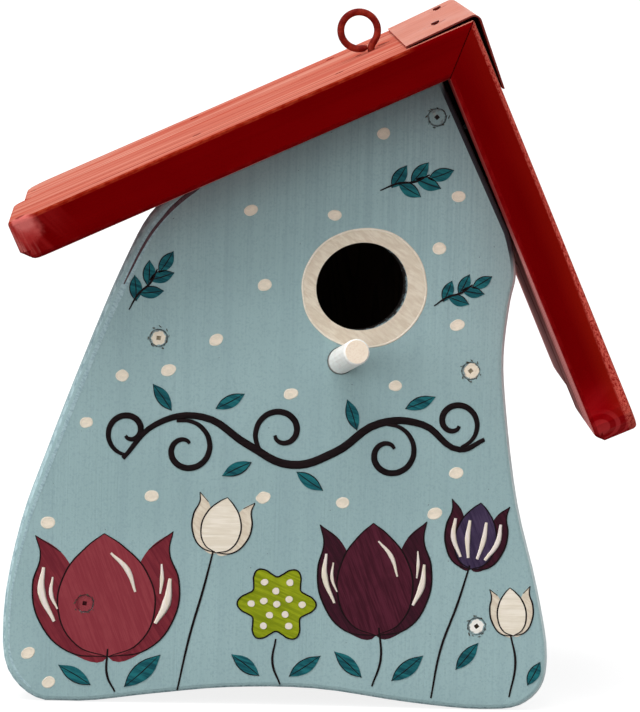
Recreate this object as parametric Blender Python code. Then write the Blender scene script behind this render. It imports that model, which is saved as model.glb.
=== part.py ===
"""Bird nest box with a flared front, a lopsided gable roof and a clean-out floor.

Metres, +Z up, the front faces -Y. The box stands on the rounded feet of its two panels, and the
origin lies on the ground below the middle of its outer box. Every board, pin and screw is a piece
of its own. The floor swings down on two screws once the turn button below it is clear.
"""
import math
from collections import namedtuple

import bmesh
import bpy
from mathutils import Matrix, Vector

# Clearances
GAP = 0.0003                    # between pieces that touch
OVERRUN = 0.002                 # how far a cutter runs past what it cuts
MERGE = 0.000001                # points closer than this are one point

# Roof: two sides of two planks each, mitred along the ridge
ROOF_DEPTH = 0.150
ROOF_BOARD = 0.016
RIDGE_HEIGHT = 0.2562           # outer ridge line above the ground
LEFT_PITCH = math.radians(25.0)
RIGHT_PITCH = math.radians(66.2)
LEFT_RUN = 0.1843               # ridge line to the end of the front plank
RIGHT_RUN = 0.1613
LEFT_REAR_STEP = 0.0042         # the rear planks end this much higher
RIGHT_REAR_STEP = 0.0095
FRONT_PLANK_SHARE = 0.583       # of the roof's depth, width of the front planks
PLANK_CORNER = 0.011            # rounding of the roof's four corners
JOINT_CORNER = 0.007            # rounding of a plank's corner beside the other plank
PLANK_EDGE = 0.0017             # rounding of its edges
LEFT_CHAMFER = 0.0038           # below the ends of the planks
RIGHT_CHAMFER = 0.0030
CORNER_STEPS = 5
EDGE_STEPS = 3

# Panels, the front one flared and the back one plain
PANEL_BOARD = 0.016
PANEL_WIDTH = 0.2015
PANEL_EDGE = 0.0019             # routed rounding of the rim
FRONT_OVERHANG = 0.025          # roof in front of the front panel
REAR_OVERHANG = 0.010
APEX_OPENING = 0.002            # panel to right-hand planks at the ridge
RIGHT_SHOULDER = 0.062          # ridge to where the panel meets those planks
SHOULDER_LEAD_SHARE = 0.15      # of the straight flank, steers the curve below it
OUTLINE_STEPS = 4               # facets between two points of the outline

# Outline of a panel from the roof's left side round both feet to the right flank. First number:
# place to the right of the inner ridge, as a share of the panel's width. Second number: height as
# a share of the room under the roof there. The first point only steers the curve.
OUTLINE_SHARES = (
    (-0.445, 1.000), (-0.485, 1.000), (-0.530, 0.977), (-0.575, 0.902), (-0.650, 0.720),
    (-0.710, 0.547), (-0.755, 0.395), (-0.782, 0.205), (-0.772, 0.070), (-0.720, 0.006),
    (-0.640, 0.000), (-0.510, 0.017), (-0.370, 0.031), (-0.210, 0.030), (-0.030, 0.008),
    (0.100, 0.000), (0.170, 0.011), (0.208, 0.062), (0.218, 0.150), (0.196, 0.315),
    (0.155, 0.470), (0.128, 0.640), (0.121, 0.735), (0.130, 0.868), (0.139, 0.950),
)

# Entrance and perch, places as shares like the outline's
ENTRANCE_SHARES = (-0.142, 0.708)
ENTRANCE_LOW = 0.032            # least width of the oval hole
ENTRANCE_WIDE = 0.034
ENTRANCE_TURN = math.radians(27)      # slant of its long axis
ENTRANCE_FALL = math.radians(4)       # drilled a little down and to the left
ENTRANCE_SWING = math.radians(3)
ENTRANCE_SIDES = 40
PERCH_SHARES = (-0.176, 0.592)
PERCH_RADIUS = 0.0048
PERCH_REACH = 0.028             # in front of the panel
PERCH_SEAT = 0.012              # in the panel
PERCH_CHAMFER = 0.0005
PERCH_RISE = math.radians(13)
PERCH_SWING = math.radians(9.5)
PERCH_SIDES = 20

# Side walls, each on the line through its two panel screws
WALL_BOARD = 0.016
WALL_RISE = 0.012               # lower ends above the ground
WALL_EDGE = 0.0005
LEFT_HIGH_SHARES = (-0.510, 0.728)
LEFT_LOW_SHARES = (-0.634, 0.210)
RIGHT_HIGH_SHARES = (0.061, 0.611)
RIGHT_LOW_SHARES = (0.086, 0.160)

# Ridge batten in the corner under the ridge
BATTEN = 0.020
BATTEN_SCREW_SHARES = (0.44, 0.64)    # of its width, down the left and the right side

# Countersunk screws
SCREW_RADIUS = 0.00175
SCREW_HEAD = 0.00325            # radius of the head
SCREW_RIM = 0.0003
SCREW_CONE = 0.0016             # height of the cone under the head
SCREW_BITE = 0.022              # length past the panel
SCREW_TIP = 0.004
SCREW_SINK = 0.0003             # head below the face of the board
SCREW_SQUARE = 0.0011           # middle to corner of the driver recess
SCREW_RECESS = 0.0010           # its depth
SCREW_SIDES = 12
SCREW_TURN = math.radians(137)  # from one screw to the next

# Panel pins, in the roof and in the ridge strip
PIN_RADIUS = 0.0009
PIN_HEAD = 0.0016
PIN_HEAD_HEIGHT = 0.0007
PIN_BITE = 0.009                # length past the plank
PIN_TIP = 0.002
PIN_SINK = 0.0004
PIN_SIDES = 8
LEFT_PIN_SHARES = (0.28, 0.59)  # of the run, from the ridge
RIGHT_PIN_SHARES = (0.23, 0.44)
LEFT_BATTEN_PIN = 0.024         # ridge to the pins that enter the batten, clear of each other
RIGHT_BATTEN_PIN = 0.030
BATTEN_PIN_SHARE = 0.55         # those pins, of the way from the planks' joint to the back screws
STRIP_PIN_BITE = 0.0045
STRIP_PIN_LIFT = 0.0005          # heads above the dents

# Ridge strip, a sheet bent over the ridge whose right leg springs off the planks
STRIP_SHEET = 0.0006
STRIP_LEFT = 0.0262             # ridge to its lower edges
STRIP_RIGHT = 0.0272
STRIP_REST = 0.0005             # lower edges above the planks
STRIP_LEFT_RISE = 0.0017        # bend above the left planks
STRIP_RIGHT_RISE = 0.0026
STRIP_BEND = 0.0026             # radius of the bend
STRIP_BEND_STEPS = 6
STRIP_FRONT = 0.0015            # set back from the roof's front and rear
STRIP_REAR = 0.0065
STRIP_DENT = 0.00045            # the pins pull the sheet down this far
STRIP_DENT_RADIUS = 0.0045
STRIP_DENT_STEPS = 3
STRIP_PIN_SHARES = (0.307, 0.813)     # of the roof's depth, places of its pins
STRIP_FRONT_PIN_DOWN = 0.0143   # ridge to those pins
STRIP_REAR_PIN_DOWN = 0.0090

# Screw eye in the left front plank
EYE_WIRE = 0.00135              # radius of the wire
EYE_RING = 0.0069               # radius of the ring
EYE_DOWN = 0.0368               # ridge to the eye
EYE_SHARE = 0.503               # of the roof's depth, front to the eye
EYE_LIFT = 0.0004               # straight neck above the plank
EYE_SHANK = 0.013
EYE_TIP = 0.004
EYE_NECK = math.radians(12)     # the neck joins the ring this far from its lowest point
EYE_MOUTH = math.radians(29)    # the ring ends this far past its lowest point
EYE_POINT_SHARE = 0.2           # the screw's tip, of the wire
EYE_RESOLUTION = 3
EYE_SIDES = 10
EYE_STEPS = 28
EYE_NECK_STEPS = 5

# Floor flap with its pivot screws, and the turn button
FLOOR_BOARD = 0.014
FLOOR_SIDE_GAP = 0.0008
FLOOR_FRONT_GAP = 0.0012
FLOOR_REAR_GAP = 0.0020
FLOOR_NOSE_STEPS = 8
PIVOT_BITE = 0.016
PIVOT_SINK = 0.0012
BUTTON_LENGTH = 0.034
BUTTON_WIDTH = 0.012
BUTTON_SHEET = 0.0025
BUTTON_BACK = 0.012             # its pivot behind the front panel
BUTTON_STEPS = 8
BUTTON_SCREW = 0.0015           # radius
BUTTON_HEAD = 0.0035
BUTTON_DOME = 0.0022
PAN_SHARES = ((0.55, 0.0), (0.90, 0.35), (1.0, 0.80), (1.0, 1.0))   # of the head
BUTTON_BITE_SHARE = 0.8         # of the wood below the low screw of the front panel

# Colours, linear
BLUE_PAINT = (0.27, 0.38, 0.41, 1.0)
RED_PAINT = (0.26, 0.006, 0.008, 1.0)
CREAM_PAINT = (0.76, 0.66, 0.54, 1.0)
PLUM_PAINT = (0.10, 0.02, 0.04, 1.0)
BARE_WOOD = (0.50, 0.35, 0.20, 1.0)
EYE_PAINT = (0.15, 0.013, 0.008, 1.0)
ZINC = (0.60, 0.60, 0.58, 1.0)
WOOD_ROUGHNESS = 0.75
PAINT_ROUGHNESS = 0.45
ZINC_ROUGHNESS = 0.35
SHARP_ANGLE = math.radians(38)


def direction(angle):
    """Unit vector in the X-Z plane, turned from +X towards +Z."""
    return Vector((math.cos(angle), 0, math.sin(angle)))


# Both sides of the roof run down from the ridge line: "down" points down the slope and "inward"
# into the board.
LEFT_DOWN = direction(math.pi + LEFT_PITCH)
LEFT_INWARD = direction(LEFT_PITCH - math.pi / 2)
RIGHT_DOWN = direction(-RIGHT_PITCH)
RIGHT_INWARD = direction(-RIGHT_PITCH - math.pi / 2)
RoofSide = namedtuple(
    "RoofSide", "name down inward run rear_step chamfer pin_shares batten_pin")
LEFT = RoofSide(
    "left", LEFT_DOWN, LEFT_INWARD, LEFT_RUN, LEFT_REAR_STEP, LEFT_CHAMFER, LEFT_PIN_SHARES,
    LEFT_BATTEN_PIN)
RIGHT = RoofSide(
    "right", RIGHT_DOWN, RIGHT_INWARD, RIGHT_RUN, RIGHT_REAR_STEP, RIGHT_CHAMFER,
    RIGHT_PIN_SHARES, RIGHT_BATTEN_PIN)
HALF_RIDGE = (math.pi - LEFT_PITCH - RIGHT_PITCH) / 2
MITRE_RUN = ROOF_BOARD / math.tan(HALF_RIDGE)
MITRE_GAP = GAP / 2 / math.sin(HALF_RIDGE)
RIDGE_TO_INNER = LEFT_DOWN * MITRE_RUN + LEFT_INWARD * ROOF_BOARD
INNER_HEIGHT = RIDGE_HEIGHT + RIDGE_TO_INNER.z

PERCH_HEADING = Vector((math.tan(PERCH_SWING), -1, math.tan(PERCH_RISE))).normalized()
PERCH_OUT = (
    PERCH_REACH * -PERCH_HEADING.y
    + (PERCH_RADIUS - PERCH_CHAMFER) * math.hypot(PERCH_HEADING.x, PERCH_HEADING.z))
ROOF_FRONT = (max(PERCH_OUT - FRONT_OVERHANG, 0) - ROOF_DEPTH) / 2
ROOF_REAR = ROOF_FRONT + ROOF_DEPTH
PLANK_SPLIT = ROOF_FRONT + ROOF_DEPTH * FRONT_PLANK_SHARE
FRONT_FACE = ROOF_FRONT + FRONT_OVERHANG
FRONT_INNER = FRONT_FACE + PANEL_BOARD
REAR_FACE = ROOF_REAR - REAR_OVERHANG
REAR_INNER = REAR_FACE - PANEL_BOARD
BACKWARD = Vector((0, 1, 0))
UPWARD = Vector((0, 0, 1))
ACROSS = Vector((1, 0, 0))


def mixed(start, end, share):
    """The point at this share of the way from start to end."""
    return start + (end - start) * share


def smooth_curve(points, steps):
    """A centripetal Catmull-Rom curve through all the points but the first and the last."""
    curve = []
    for knots in zip(points, points[1:], points[2:], points[3:]):
        times = [0.0]
        for near, far in zip(knots, knots[1:]):
            times.append(times[-1] + math.sqrt((far - near).length))
        for step in range(steps):
            time = mixed(times[1], times[2], step / steps)
            row = knots
            for level in (1, 2):
                row = [
                    mixed(near, far, (time - times[place]) / (times[place + level] - times[place]))
                    for place, (near, far) in enumerate(zip(row, row[1:]))]
            curve.append(mixed(row[0], row[1], (time - times[1]) / (times[2] - times[1])))
    return curve


def panel_place(shares):
    """A point of the panel from its two shares, measured from below the inner ridge."""
    across = shares[0] * PANEL_WIDTH
    pitch = LEFT_PITCH if across < 0 else RIGHT_PITCH
    room = INNER_HEIGHT - abs(across) * math.tan(pitch) - GAP / math.cos(LEFT_PITCH)
    return Vector((across, 0, shares[1] * room))


def panel_outline():
    """Outline of the front panel, measured from below the inner ridge."""
    inner = UPWARD * INNER_HEIGHT
    slide = (APEX_OPENING - GAP * LEFT_INWARD.dot(RIGHT_INWARD)) / LEFT_DOWN.dot(RIGHT_INWARD)
    apex = inner + LEFT_DOWN * slide + LEFT_INWARD * GAP
    shoulder = inner + RIGHT_DOWN * RIGHT_SHOULDER + RIGHT_INWARD * GAP
    knots = [panel_place(shares) for shares in OUTLINE_SHARES]
    knots += [shoulder, mixed(shoulder, apex, SHOULDER_LEAD_SHARE)]
    outline = smooth_curve(knots, OUTLINE_STEPS) + [shoulder, apex]
    for point in outline:
        point.z = max(point.z, 0)
    return outline


def eave_reach(run, pitch):
    """How far the rounded end of a roof side lies beside the ridge."""
    return run * math.cos(pitch) - PLANK_EDGE * (math.cos(pitch) + math.sin(pitch) - 1)


def inner_ridge_place(outline):
    """The inner ridge line, placed so that the outer box has its middle at the origin."""
    left = [point.x for point in outline]
    left.append(-RIDGE_TO_INNER.x - eave_reach(LEFT_RUN, LEFT_PITCH))
    right = -RIDGE_TO_INNER.x + eave_reach(RIGHT_RUN, RIGHT_PITCH)
    return Vector((-(min(left) + right) / 2, 0, INNER_HEIGHT))


OUTLINE = panel_outline()
INNER_RIDGE = inner_ridge_place(OUTLINE)
RIDGE = INNER_RIDGE - RIDGE_TO_INNER
PANEL_SHIFT = ACROSS * INNER_RIDGE.x


def panel_point(shares, y=0.0):
    """A point at these shares, see OUTLINE_SHARES, and at this depth."""
    return panel_place(shares) + PANEL_SHIFT + BACKWARD * y


def roof_point(side, run, depth, y=0.0):
    """A point of a roof side: down the slope from the ridge, and below its outer face."""
    return RIDGE + side.down * run + side.inward * depth + BACKWARD * y


def along(start, heading, turn=0.0):
    """Placement whose Z axis runs from start along heading, turned about itself."""
    facing = heading.to_track_quat("Z", "Y").to_matrix().to_4x4()
    return Matrix.Translation(start) @ facing @ Matrix.Rotation(turn, 4, "Z")


def paint(name, look):
    """A plain material from a colour, a roughness and a metallic value."""
    colour, roughness, metallic = look
    material = bpy.data.materials.new(name)
    material.use_nodes = True
    shader = material.node_tree.nodes["Principled BSDF"]
    shader.inputs["Base Color"].default_value = colour
    shader.inputs["Roughness"].default_value = roughness
    shader.inputs["Metallic"].default_value = metallic
    material.diffuse_color = colour
    return material


def mesh_from(bm, name):
    """Turns a bmesh into a mesh with its faces pointing out."""
    bmesh.ops.recalc_face_normals(bm, faces=bm.faces)
    mesh = bpy.data.meshes.new(name)
    bm.to_mesh(mesh)
    bm.free()
    return mesh


def joined(bodies):
    """One bmesh of several separate closed bodies."""
    target = bmesh.new()
    for body in bodies:
        mesh = mesh_from(body, "body")
        target.from_mesh(mesh)
        bpy.data.meshes.remove(mesh)
    return target


def add_object(name, mesh, place=None):
    """Puts a mesh into the scene."""
    piece = bpy.data.objects.new(name, mesh)
    bpy.context.scene.collection.objects.link(piece)
    if place:
        piece.matrix_world = place
    return piece


def cut(piece, cutters):
    """Cuts closed bodies, given in the scene's frame, out of a piece."""
    cutter = add_object("cutter_" + piece.name, mesh_from(joined(cutters), "cutter"))
    modifier = piece.modifiers.new("bores", "BOOLEAN")
    modifier.operation = "DIFFERENCE"
    modifier.solver = "EXACT"
    modifier.object = cutter
    bpy.context.view_layer.update()
    graph = bpy.context.evaluated_depsgraph_get()
    mesh = bpy.data.meshes.new_from_object(piece.evaluated_get(graph))
    uncut = piece.data
    piece.modifiers.clear()
    piece.data = mesh
    bpy.data.meshes.remove(uncut)
    bpy.data.objects.remove(cutter)


def dress(piece, look):
    """Gives a piece its material and smooth round faces."""
    piece.data.name = piece.name
    piece.data.materials.clear()
    piece.data.materials.append(paint(piece.name, look))
    piece.data.shade_smooth()
    piece.data.set_sharp_from_angle(angle=SHARP_ANGLE)
    shading = piece.modifiers.new("even shading", "WEIGHTED_NORMAL")
    shading.keep_sharp = True


def add_piece(name, bm, look, origin=None, cutters=()):
    """Makes a named piece from a bmesh in the scene's frame, with its origin at a given point."""
    place = Matrix.Translation(origin) if origin else Matrix.Identity(4)
    bmesh.ops.transform(bm, matrix=place.inverted(), verts=bm.verts)
    piece = add_object(name, mesh_from(bm, name), place)
    if cutters:
        cut(piece, cutters)
    dress(piece, look)
    return piece


def lofted(rows):
    """A closed body through rows of points, with its first and last row closed."""
    bm = bmesh.new()
    rings = [[bm.verts.new(point) for point in row] for row in rows]
    bm.faces.new(rings[0])
    bm.faces.new(rings[-1])
    for near, far in zip(rings, rings[1:]):
        for place in range(len(near)):
            bm.faces.new((near[place - 1], near[place], far[place], far[place - 1]))
    bmesh.ops.recalc_face_normals(bm, faces=bm.faces)
    return bm


def extruded(points, path):
    """A closed body: a flat outline swept along a straight path."""
    bm = bmesh.new()
    face = bm.faces.new([bm.verts.new(point) for point in points])
    swept = bmesh.ops.extrude_face_region(bm, geom=[face])
    moved = [item for item in swept["geom"] if isinstance(item, bmesh.types.BMVert)]
    bmesh.ops.translate(bm, verts=moved, vec=path)
    return bm


def bevel(bm, edges, width, steps):
    """Rounds edges, or chamfers them in one step."""
    bmesh.ops.bevel(
        bm, geom=edges, offset=width, offset_type="OFFSET", segments=steps, profile=0.5,
        affect="EDGES", clamp_overlap=False)


def turned(profile, sides, place):
    """A closed body from (radius, height) points spun about the placement's Z axis."""
    bm = bmesh.new()
    verts = [bm.verts.new((radius, 0, height)) for radius, height in profile]
    edges = [bm.edges.new(pair) for pair in zip(verts, verts[1:])]
    bmesh.ops.spin(
        bm, geom=verts + edges, cent=(0, 0, 0), axis=(0, 0, 1), angle=2 * math.pi, steps=sides)
    bmesh.ops.remove_doubles(bm, verts=bm.verts, dist=MERGE)
    open_edges = [edge for edge in bm.edges if edge.is_boundary]
    bmesh.ops.holes_fill(bm, edges=open_edges, sides=0)
    bmesh.ops.transform(bm, matrix=place, verts=bm.verts)
    return bm


def sink_square(bm):
    """Sinks a square driver recess into the flat end at height zero."""
    end = [face for face in bm.faces if all(abs(vert.co.z) < MERGE for vert in face.verts)]
    bmesh.ops.inset_region(bm, faces=end, thickness=SCREW_SQUARE)
    inner = list(end[0].verts)
    for vert in inner:
        if abs(vert.co.x) > abs(vert.co.y):
            vert.co = Vector((math.copysign(SCREW_SQUARE, vert.co.x), 0, 0))
        else:
            vert.co = Vector((0, math.copysign(SCREW_SQUARE, vert.co.y), 0))
    bmesh.ops.remove_doubles(bm, verts=inner, dist=MERGE)
    bmesh.ops.recalc_face_normals(bm, faces=bm.faces)
    middle = min(bm.faces, key=lambda face: face.calc_center_median().length)
    sunk = bmesh.ops.extrude_discrete_faces(bm, faces=[middle])
    bmesh.ops.translate(bm, verts=sunk["faces"][0].verts, vec=(0, 0, SCREW_RECESS))


def screw_profile(length, room=0.0):
    """Half outline of a countersunk screw, or of the bore with this room round it."""
    if room:
        return [
            (SCREW_HEAD + room, -OVERRUN), (SCREW_HEAD + room, SCREW_RIM),
            (SCREW_RADIUS + room, SCREW_RIM + SCREW_CONE + room / 2),
            (SCREW_RADIUS + room, length + room)]
    return [
        (SCREW_HEAD, 0), (SCREW_HEAD, SCREW_RIM), (SCREW_RADIUS, SCREW_RIM + SCREW_CONE),
        (SCREW_RADIUS, length - SCREW_TIP), (0, length)]


def pin_profile(length, room=0.0):
    """Half outline of a panel pin, or of the bore with this room round it."""
    if room:
        return [
            (PIN_HEAD + room, -OVERRUN), (PIN_HEAD + room, PIN_HEAD_HEIGHT + room),
            (PIN_RADIUS + room, PIN_HEAD_HEIGHT + room), (PIN_RADIUS + room, length + room)]
    return [
        (PIN_HEAD, 0), (PIN_HEAD, PIN_HEAD_HEIGHT), (PIN_RADIUS, PIN_HEAD_HEIGHT),
        (PIN_RADIUS, length - PIN_TIP), (0, length)]


def add_fastener(name, profile, sides, place, look, square=False):
    """Turns a screw or a pin about its own Z axis and puts it in its place."""
    bm = turned(profile, sides, Matrix.Identity(4))
    if square:
        sink_square(bm)
    piece = add_object(name, mesh_from(bm, name), place)
    dress(piece, look)
    return piece


def panel_screw_points():
    """Places of a panel's five screws in the X-Z plane, from the ridge down."""
    left, right = BATTEN_SCREW_SHARES
    top = INNER_RIDGE + LEFT_DOWN * (left * BATTEN) + RIGHT_DOWN * (right * BATTEN)
    shares = (LEFT_HIGH_SHARES, RIGHT_HIGH_SHARES, LEFT_LOW_SHARES, RIGHT_LOW_SHARES)
    return [top] + [panel_point(share) for share in shares]


def panel_screw_places(face, heading):
    """Placements of the screws that enter one panel."""
    return [
        along(point + BACKWARD * face + heading * SCREW_SINK, heading, index * SCREW_TURN)
        for index, point in enumerate(panel_screw_points())]


def roof_pin_places(side):
    """Placements of the six pins that hold the planks of one side."""
    spots = []
    for y in ((FRONT_FACE + FRONT_INNER) / 2, (REAR_INNER + REAR_FACE) / 2):
        spots += [(share * side.run, y) for share in side.pin_shares]
    step = (REAR_INNER - SCREW_BITE - PLANK_SPLIT) * BATTEN_PIN_SHARE
    spots += [(side.batten_pin, PLANK_SPLIT - step), (side.batten_pin, PLANK_SPLIT + step)]
    return [along(roof_point(side, run, PIN_SINK, y), side.inward) for run, y in spots]


def bores(profile, sides, places):
    """Cutters for fasteners at these placements."""
    return [turned(profile, sides, place) for place in places]


def front_screw_bores():
    """Bores of the screws that enter the front panel."""
    profile = screw_profile(PANEL_BOARD + SCREW_BITE, GAP)
    return bores(profile, SCREW_SIDES, panel_screw_places(FRONT_FACE, BACKWARD))


def back_screw_bores():
    """Bores of the screws that enter the back panel."""
    profile = screw_profile(PANEL_BOARD + SCREW_BITE, GAP)
    return bores(profile, SCREW_SIDES, panel_screw_places(REAR_FACE, -BACKWARD))


def roof_pin_bores(side):
    """Bores of the pins that hold the planks of one side."""
    return bores(pin_profile(ROOF_BOARD + PIN_BITE, GAP), PIN_SIDES, roof_pin_places(side))


def entrance_cutter():
    """The oval bore of the entrance."""
    heading = Vector((-math.tan(ENTRANCE_SWING), 1, -math.tan(ENTRANCE_FALL)))
    oval = Matrix.Diagonal((ENTRANCE_WIDE / ENTRANCE_LOW, 1, 1, 1))
    start = panel_point(ENTRANCE_SHARES, FRONT_FACE)
    place = along(start, heading, math.pi - ENTRANCE_TURN) @ oval
    radius = ENTRANCE_LOW / 2
    profile = [(radius, -OVERRUN), (radius, PANEL_BOARD + 2 * OVERRUN)]
    return turned(profile, ENTRANCE_SIDES, place)


def perch_place():
    """Placement of the perch, from its inner end outwards."""
    start = panel_point(PERCH_SHARES, FRONT_FACE) - PERCH_HEADING * PERCH_SEAT
    return along(start, PERCH_HEADING)


def perch_body(room=0.0):
    """The perch, or its bore with this room round it."""
    if room:
        profile = [(PERCH_RADIUS + room, -room), (PERCH_RADIUS + room, PERCH_SEAT + OVERRUN)]
        return turned(profile, PERCH_SIDES, perch_place())
    length = PERCH_SEAT + PERCH_REACH
    rim = PERCH_RADIUS - PERCH_CHAMFER
    profile = [
        (rim, 0), (PERCH_RADIUS, PERCH_CHAMFER), (PERCH_RADIUS, length - PERCH_CHAMFER),
        (rim, length)]
    return turned(profile, PERCH_SIDES, perch_place())


def panel_body(outline, inner, face):
    """A panel from its inner face to its outer face, whose rim is rounded."""
    bm = extruded([point + BACKWARD * inner for point in outline], BACKWARD * (face - inner))
    rim = [
        edge for edge in bm.edges if all(abs(vert.co.y - face) < MERGE for vert in edge.verts)]
    bevel(bm, rim, PANEL_EDGE, EDGE_STEPS)
    return bm


def back_outline():
    """Outline of the back panel, straight down the outer faces of both walls."""
    shoulder, apex = (point + PANEL_SHIFT for point in OUTLINE[-2:])
    rise, outside, inside = wall_lines(LEFT_HIGH_SHARES, LEFT_LOW_SHARES)
    left = [crossing(outside, rise, apex, LEFT_DOWN), level_crossing(outside, rise, 0)]
    rise, inside, outside = wall_lines(RIGHT_HIGH_SHARES, RIGHT_LOW_SHARES)
    return left + [level_crossing(outside, rise, 0), shoulder, apex]


def add_panels(look):
    """The front panel with its entrance and perch hole, and the back panel."""
    cutters = front_screw_bores() + roof_pin_bores(LEFT) + roof_pin_bores(RIGHT)
    cutters += [entrance_cutter(), perch_body(GAP)]
    front = panel_body([point + PANEL_SHIFT for point in OUTLINE], FRONT_INNER, FRONT_FACE)
    add_piece("front_panel", front, look, cutters=cutters)
    cutters = back_screw_bores() + roof_pin_bores(LEFT) + roof_pin_bores(RIGHT)
    back = panel_body(back_outline(), REAR_INNER, REAR_FACE)
    add_piece("back_panel", back, look, cutters=cutters)


def plank_plan(run, front, back):
    """Plan of a plank from the ridge round its two eave corners, as runs and depths."""
    plan = [(MITRE_GAP, front)]
    for edge, turn in ((front, -1), (back, 1)):
        radius = JOINT_CORNER if abs(edge - PLANK_SPLIT) < GAP else PLANK_CORNER
        for step in range(CORNER_STEPS + 1):
            angle = math.pi / 2 * (step / CORNER_STEPS + min(turn, 0))
            plan.append((
                run - radius * (1 - math.cos(angle)), edge + radius * (math.sin(angle) - turn)))
    plan.append((MITRE_GAP, back))
    return plan


def plank_body(side, run, front, back):
    """A roof plank with two rounded corners at the eave and a mitred end at the ridge."""
    rows = []
    for depth, end in (
            (0, run), (ROOF_BOARD - side.chamfer, run), (ROOF_BOARD, run - side.chamfer)):
        mitre = MITRE_GAP + MITRE_RUN * depth / ROOF_BOARD
        rows.append([
            roof_point(side, min(max(place, mitre), end), depth, y)
            for place, y in plank_plan(run, front, back)])
    bm = lofted(rows)
    joint = front if abs(front - PLANK_SPLIT) < GAP else back

    def is_rim(edge):
        near, far = (vert.co - RIDGE for vert in edge.verts)
        depths = (near.dot(side.inward), far.dot(side.inward))
        faced = max(depths) < MERGE or min(depths) > ROOF_BOARD - MERGE
        mitred = max(near.dot(side.down), far.dot(side.down)) < 2 * MITRE_RUN
        jointed = all(abs(vert.co.y - joint) < MERGE for vert in edge.verts)
        return faced and not mitred and not jointed

    bevel(bm, [edge for edge in bm.edges if is_rim(edge)], PLANK_EDGE, EDGE_STEPS)
    return bm


def add_roof(look):
    """The four roof planks."""
    for side in (LEFT, RIGHT):
        eye = [eye_bore()] if side is LEFT else []
        front = plank_body(side, side.run, ROOF_FRONT, PLANK_SPLIT - GAP / 2)
        cutters = roof_pin_bores(side) + strip_pin_bores(side) + eye
        add_piece(side.name + "_front_plank", front, look, cutters=cutters)
        rear = plank_body(side, side.run - side.rear_step, PLANK_SPLIT + GAP / 2, ROOF_REAR)
        cutters = roof_pin_bores(side) + strip_pin_bores(side)
        add_piece(side.name + "_rear_plank", rear, look, cutters=cutters)


def crossing(start, heading, other, other_heading):
    """Where two lines in the X-Z plane cross."""
    normal = Vector((-other_heading.z, 0, other_heading.x))
    return start + heading * ((other - start).dot(normal) / heading.dot(normal))


def wall_lines(high, low):
    """Heading of a wall up the line of its screws, and a point of its left and right face."""
    top = panel_point(high)
    rise = (top - panel_point(low)).normalized()
    side = Vector((rise.z, 0, -rise.x)) * (WALL_BOARD / 2)
    return rise, top - side, top + side


def level_crossing(face, rise, height):
    """Where a wall's face has this height."""
    return crossing(face, rise, UPWARD * height, ACROSS)


def add_board(name, points, look, cutters):
    """A board between the two panels with its long edges eased."""
    front = BACKWARD * (FRONT_INNER + GAP)
    depth = BACKWARD * (REAR_INNER - FRONT_INNER - 2 * GAP)
    bm = extruded([point + front for point in points], depth)
    long_edges = [edge for edge in bm.edges if edge.calc_length() > depth.length - MERGE]
    bevel(bm, long_edges, WALL_EDGE, 1)
    add_piece(name, bm, look, cutters=cutters)


def add_walls(look):
    """The side walls. The left one is bevelled to the roof, the right one ends square below it."""
    left_roof = INNER_RIDGE + LEFT_INWARD * GAP
    rise, left, right = wall_lines(LEFT_HIGH_SHARES, LEFT_LOW_SHARES)
    points = [
        level_crossing(left, rise, WALL_RISE), level_crossing(right, rise, WALL_RISE),
        crossing(right, rise, left_roof, LEFT_DOWN), crossing(left, rise, left_roof, LEFT_DOWN)]
    cutters = front_screw_bores() + back_screw_bores() + pivot_bores()
    add_board("left_wall", points, look, cutters)

    right_roof = INNER_RIDGE + RIGHT_INWARD * GAP
    rise, left, right = wall_lines(RIGHT_HIGH_SHARES, RIGHT_LOW_SHARES)
    top = crossing(right, rise, right_roof, RIGHT_DOWN)
    points = [
        level_crossing(left, rise, WALL_RISE), level_crossing(right, rise, WALL_RISE), top,
        level_crossing(left, rise, top.z)]
    cutters = front_screw_bores() + back_screw_bores() + pivot_bores() + [button_screw_bore()]
    add_board("right_wall", points, look, cutters)


def add_batten(look):
    """The batten in the corner of the roof."""
    towards = (LEFT_DOWN + RIGHT_DOWN).normalized()
    nose = INNER_RIDGE + towards * (GAP / math.sin(HALF_RIDGE))
    points = [
        nose, nose + LEFT_DOWN * BATTEN, nose + (LEFT_DOWN + RIGHT_DOWN) * BATTEN,
        nose + RIGHT_DOWN * BATTEN]
    cutters = front_screw_bores() + back_screw_bores()
    cutters += roof_pin_bores(LEFT) + roof_pin_bores(RIGHT)
    add_board("ridge_batten", points, look, cutters)


def strip_pin_spots():
    """Places of the strip's pins: run from the ridge, and depth."""
    downs = (STRIP_FRONT_PIN_DOWN, STRIP_REAR_PIN_DOWN)
    return [
        (down, ROOF_FRONT + ROOF_DEPTH * share) for down, share in zip(downs, STRIP_PIN_SHARES)]


def strip_lines():
    """The corner where the lines of the two legs meet, and both legs' lower ends, mid sheet."""
    rest = STRIP_REST + STRIP_SHEET / 2
    corner = RIDGE - LEFT_INWARD * STRIP_LEFT_RISE - RIGHT_INWARD * STRIP_RIGHT_RISE
    left = roof_point(LEFT, STRIP_LEFT, -rest)
    right = roof_point(RIGHT, STRIP_RIGHT, -rest)
    return corner, left, right


def grid_lines(middles, low, high):
    """Grid lines from low to high, close together round each dent."""
    lines = [low, high]
    for middle in middles:
        for step in range(-STRIP_DENT_STEPS, STRIP_DENT_STEPS + 1):
            line = middle + STRIP_DENT_RADIUS * step / STRIP_DENT_STEPS
            if low < line < high and all(abs(line - other) > STRIP_SHEET for other in lines):
                lines.append(line)
    return sorted(lines)


def leg_rows(corner, end, outward, start):
    """Points down a leg at mid sheet, each with the way out of the sheet and its run."""
    heading = (end - corner).normalized()
    runs = grid_lines([run for run, y in strip_pin_spots()], start, (end - corner).length)
    return [(corner + heading * run, outward, run) for run in runs]


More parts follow.
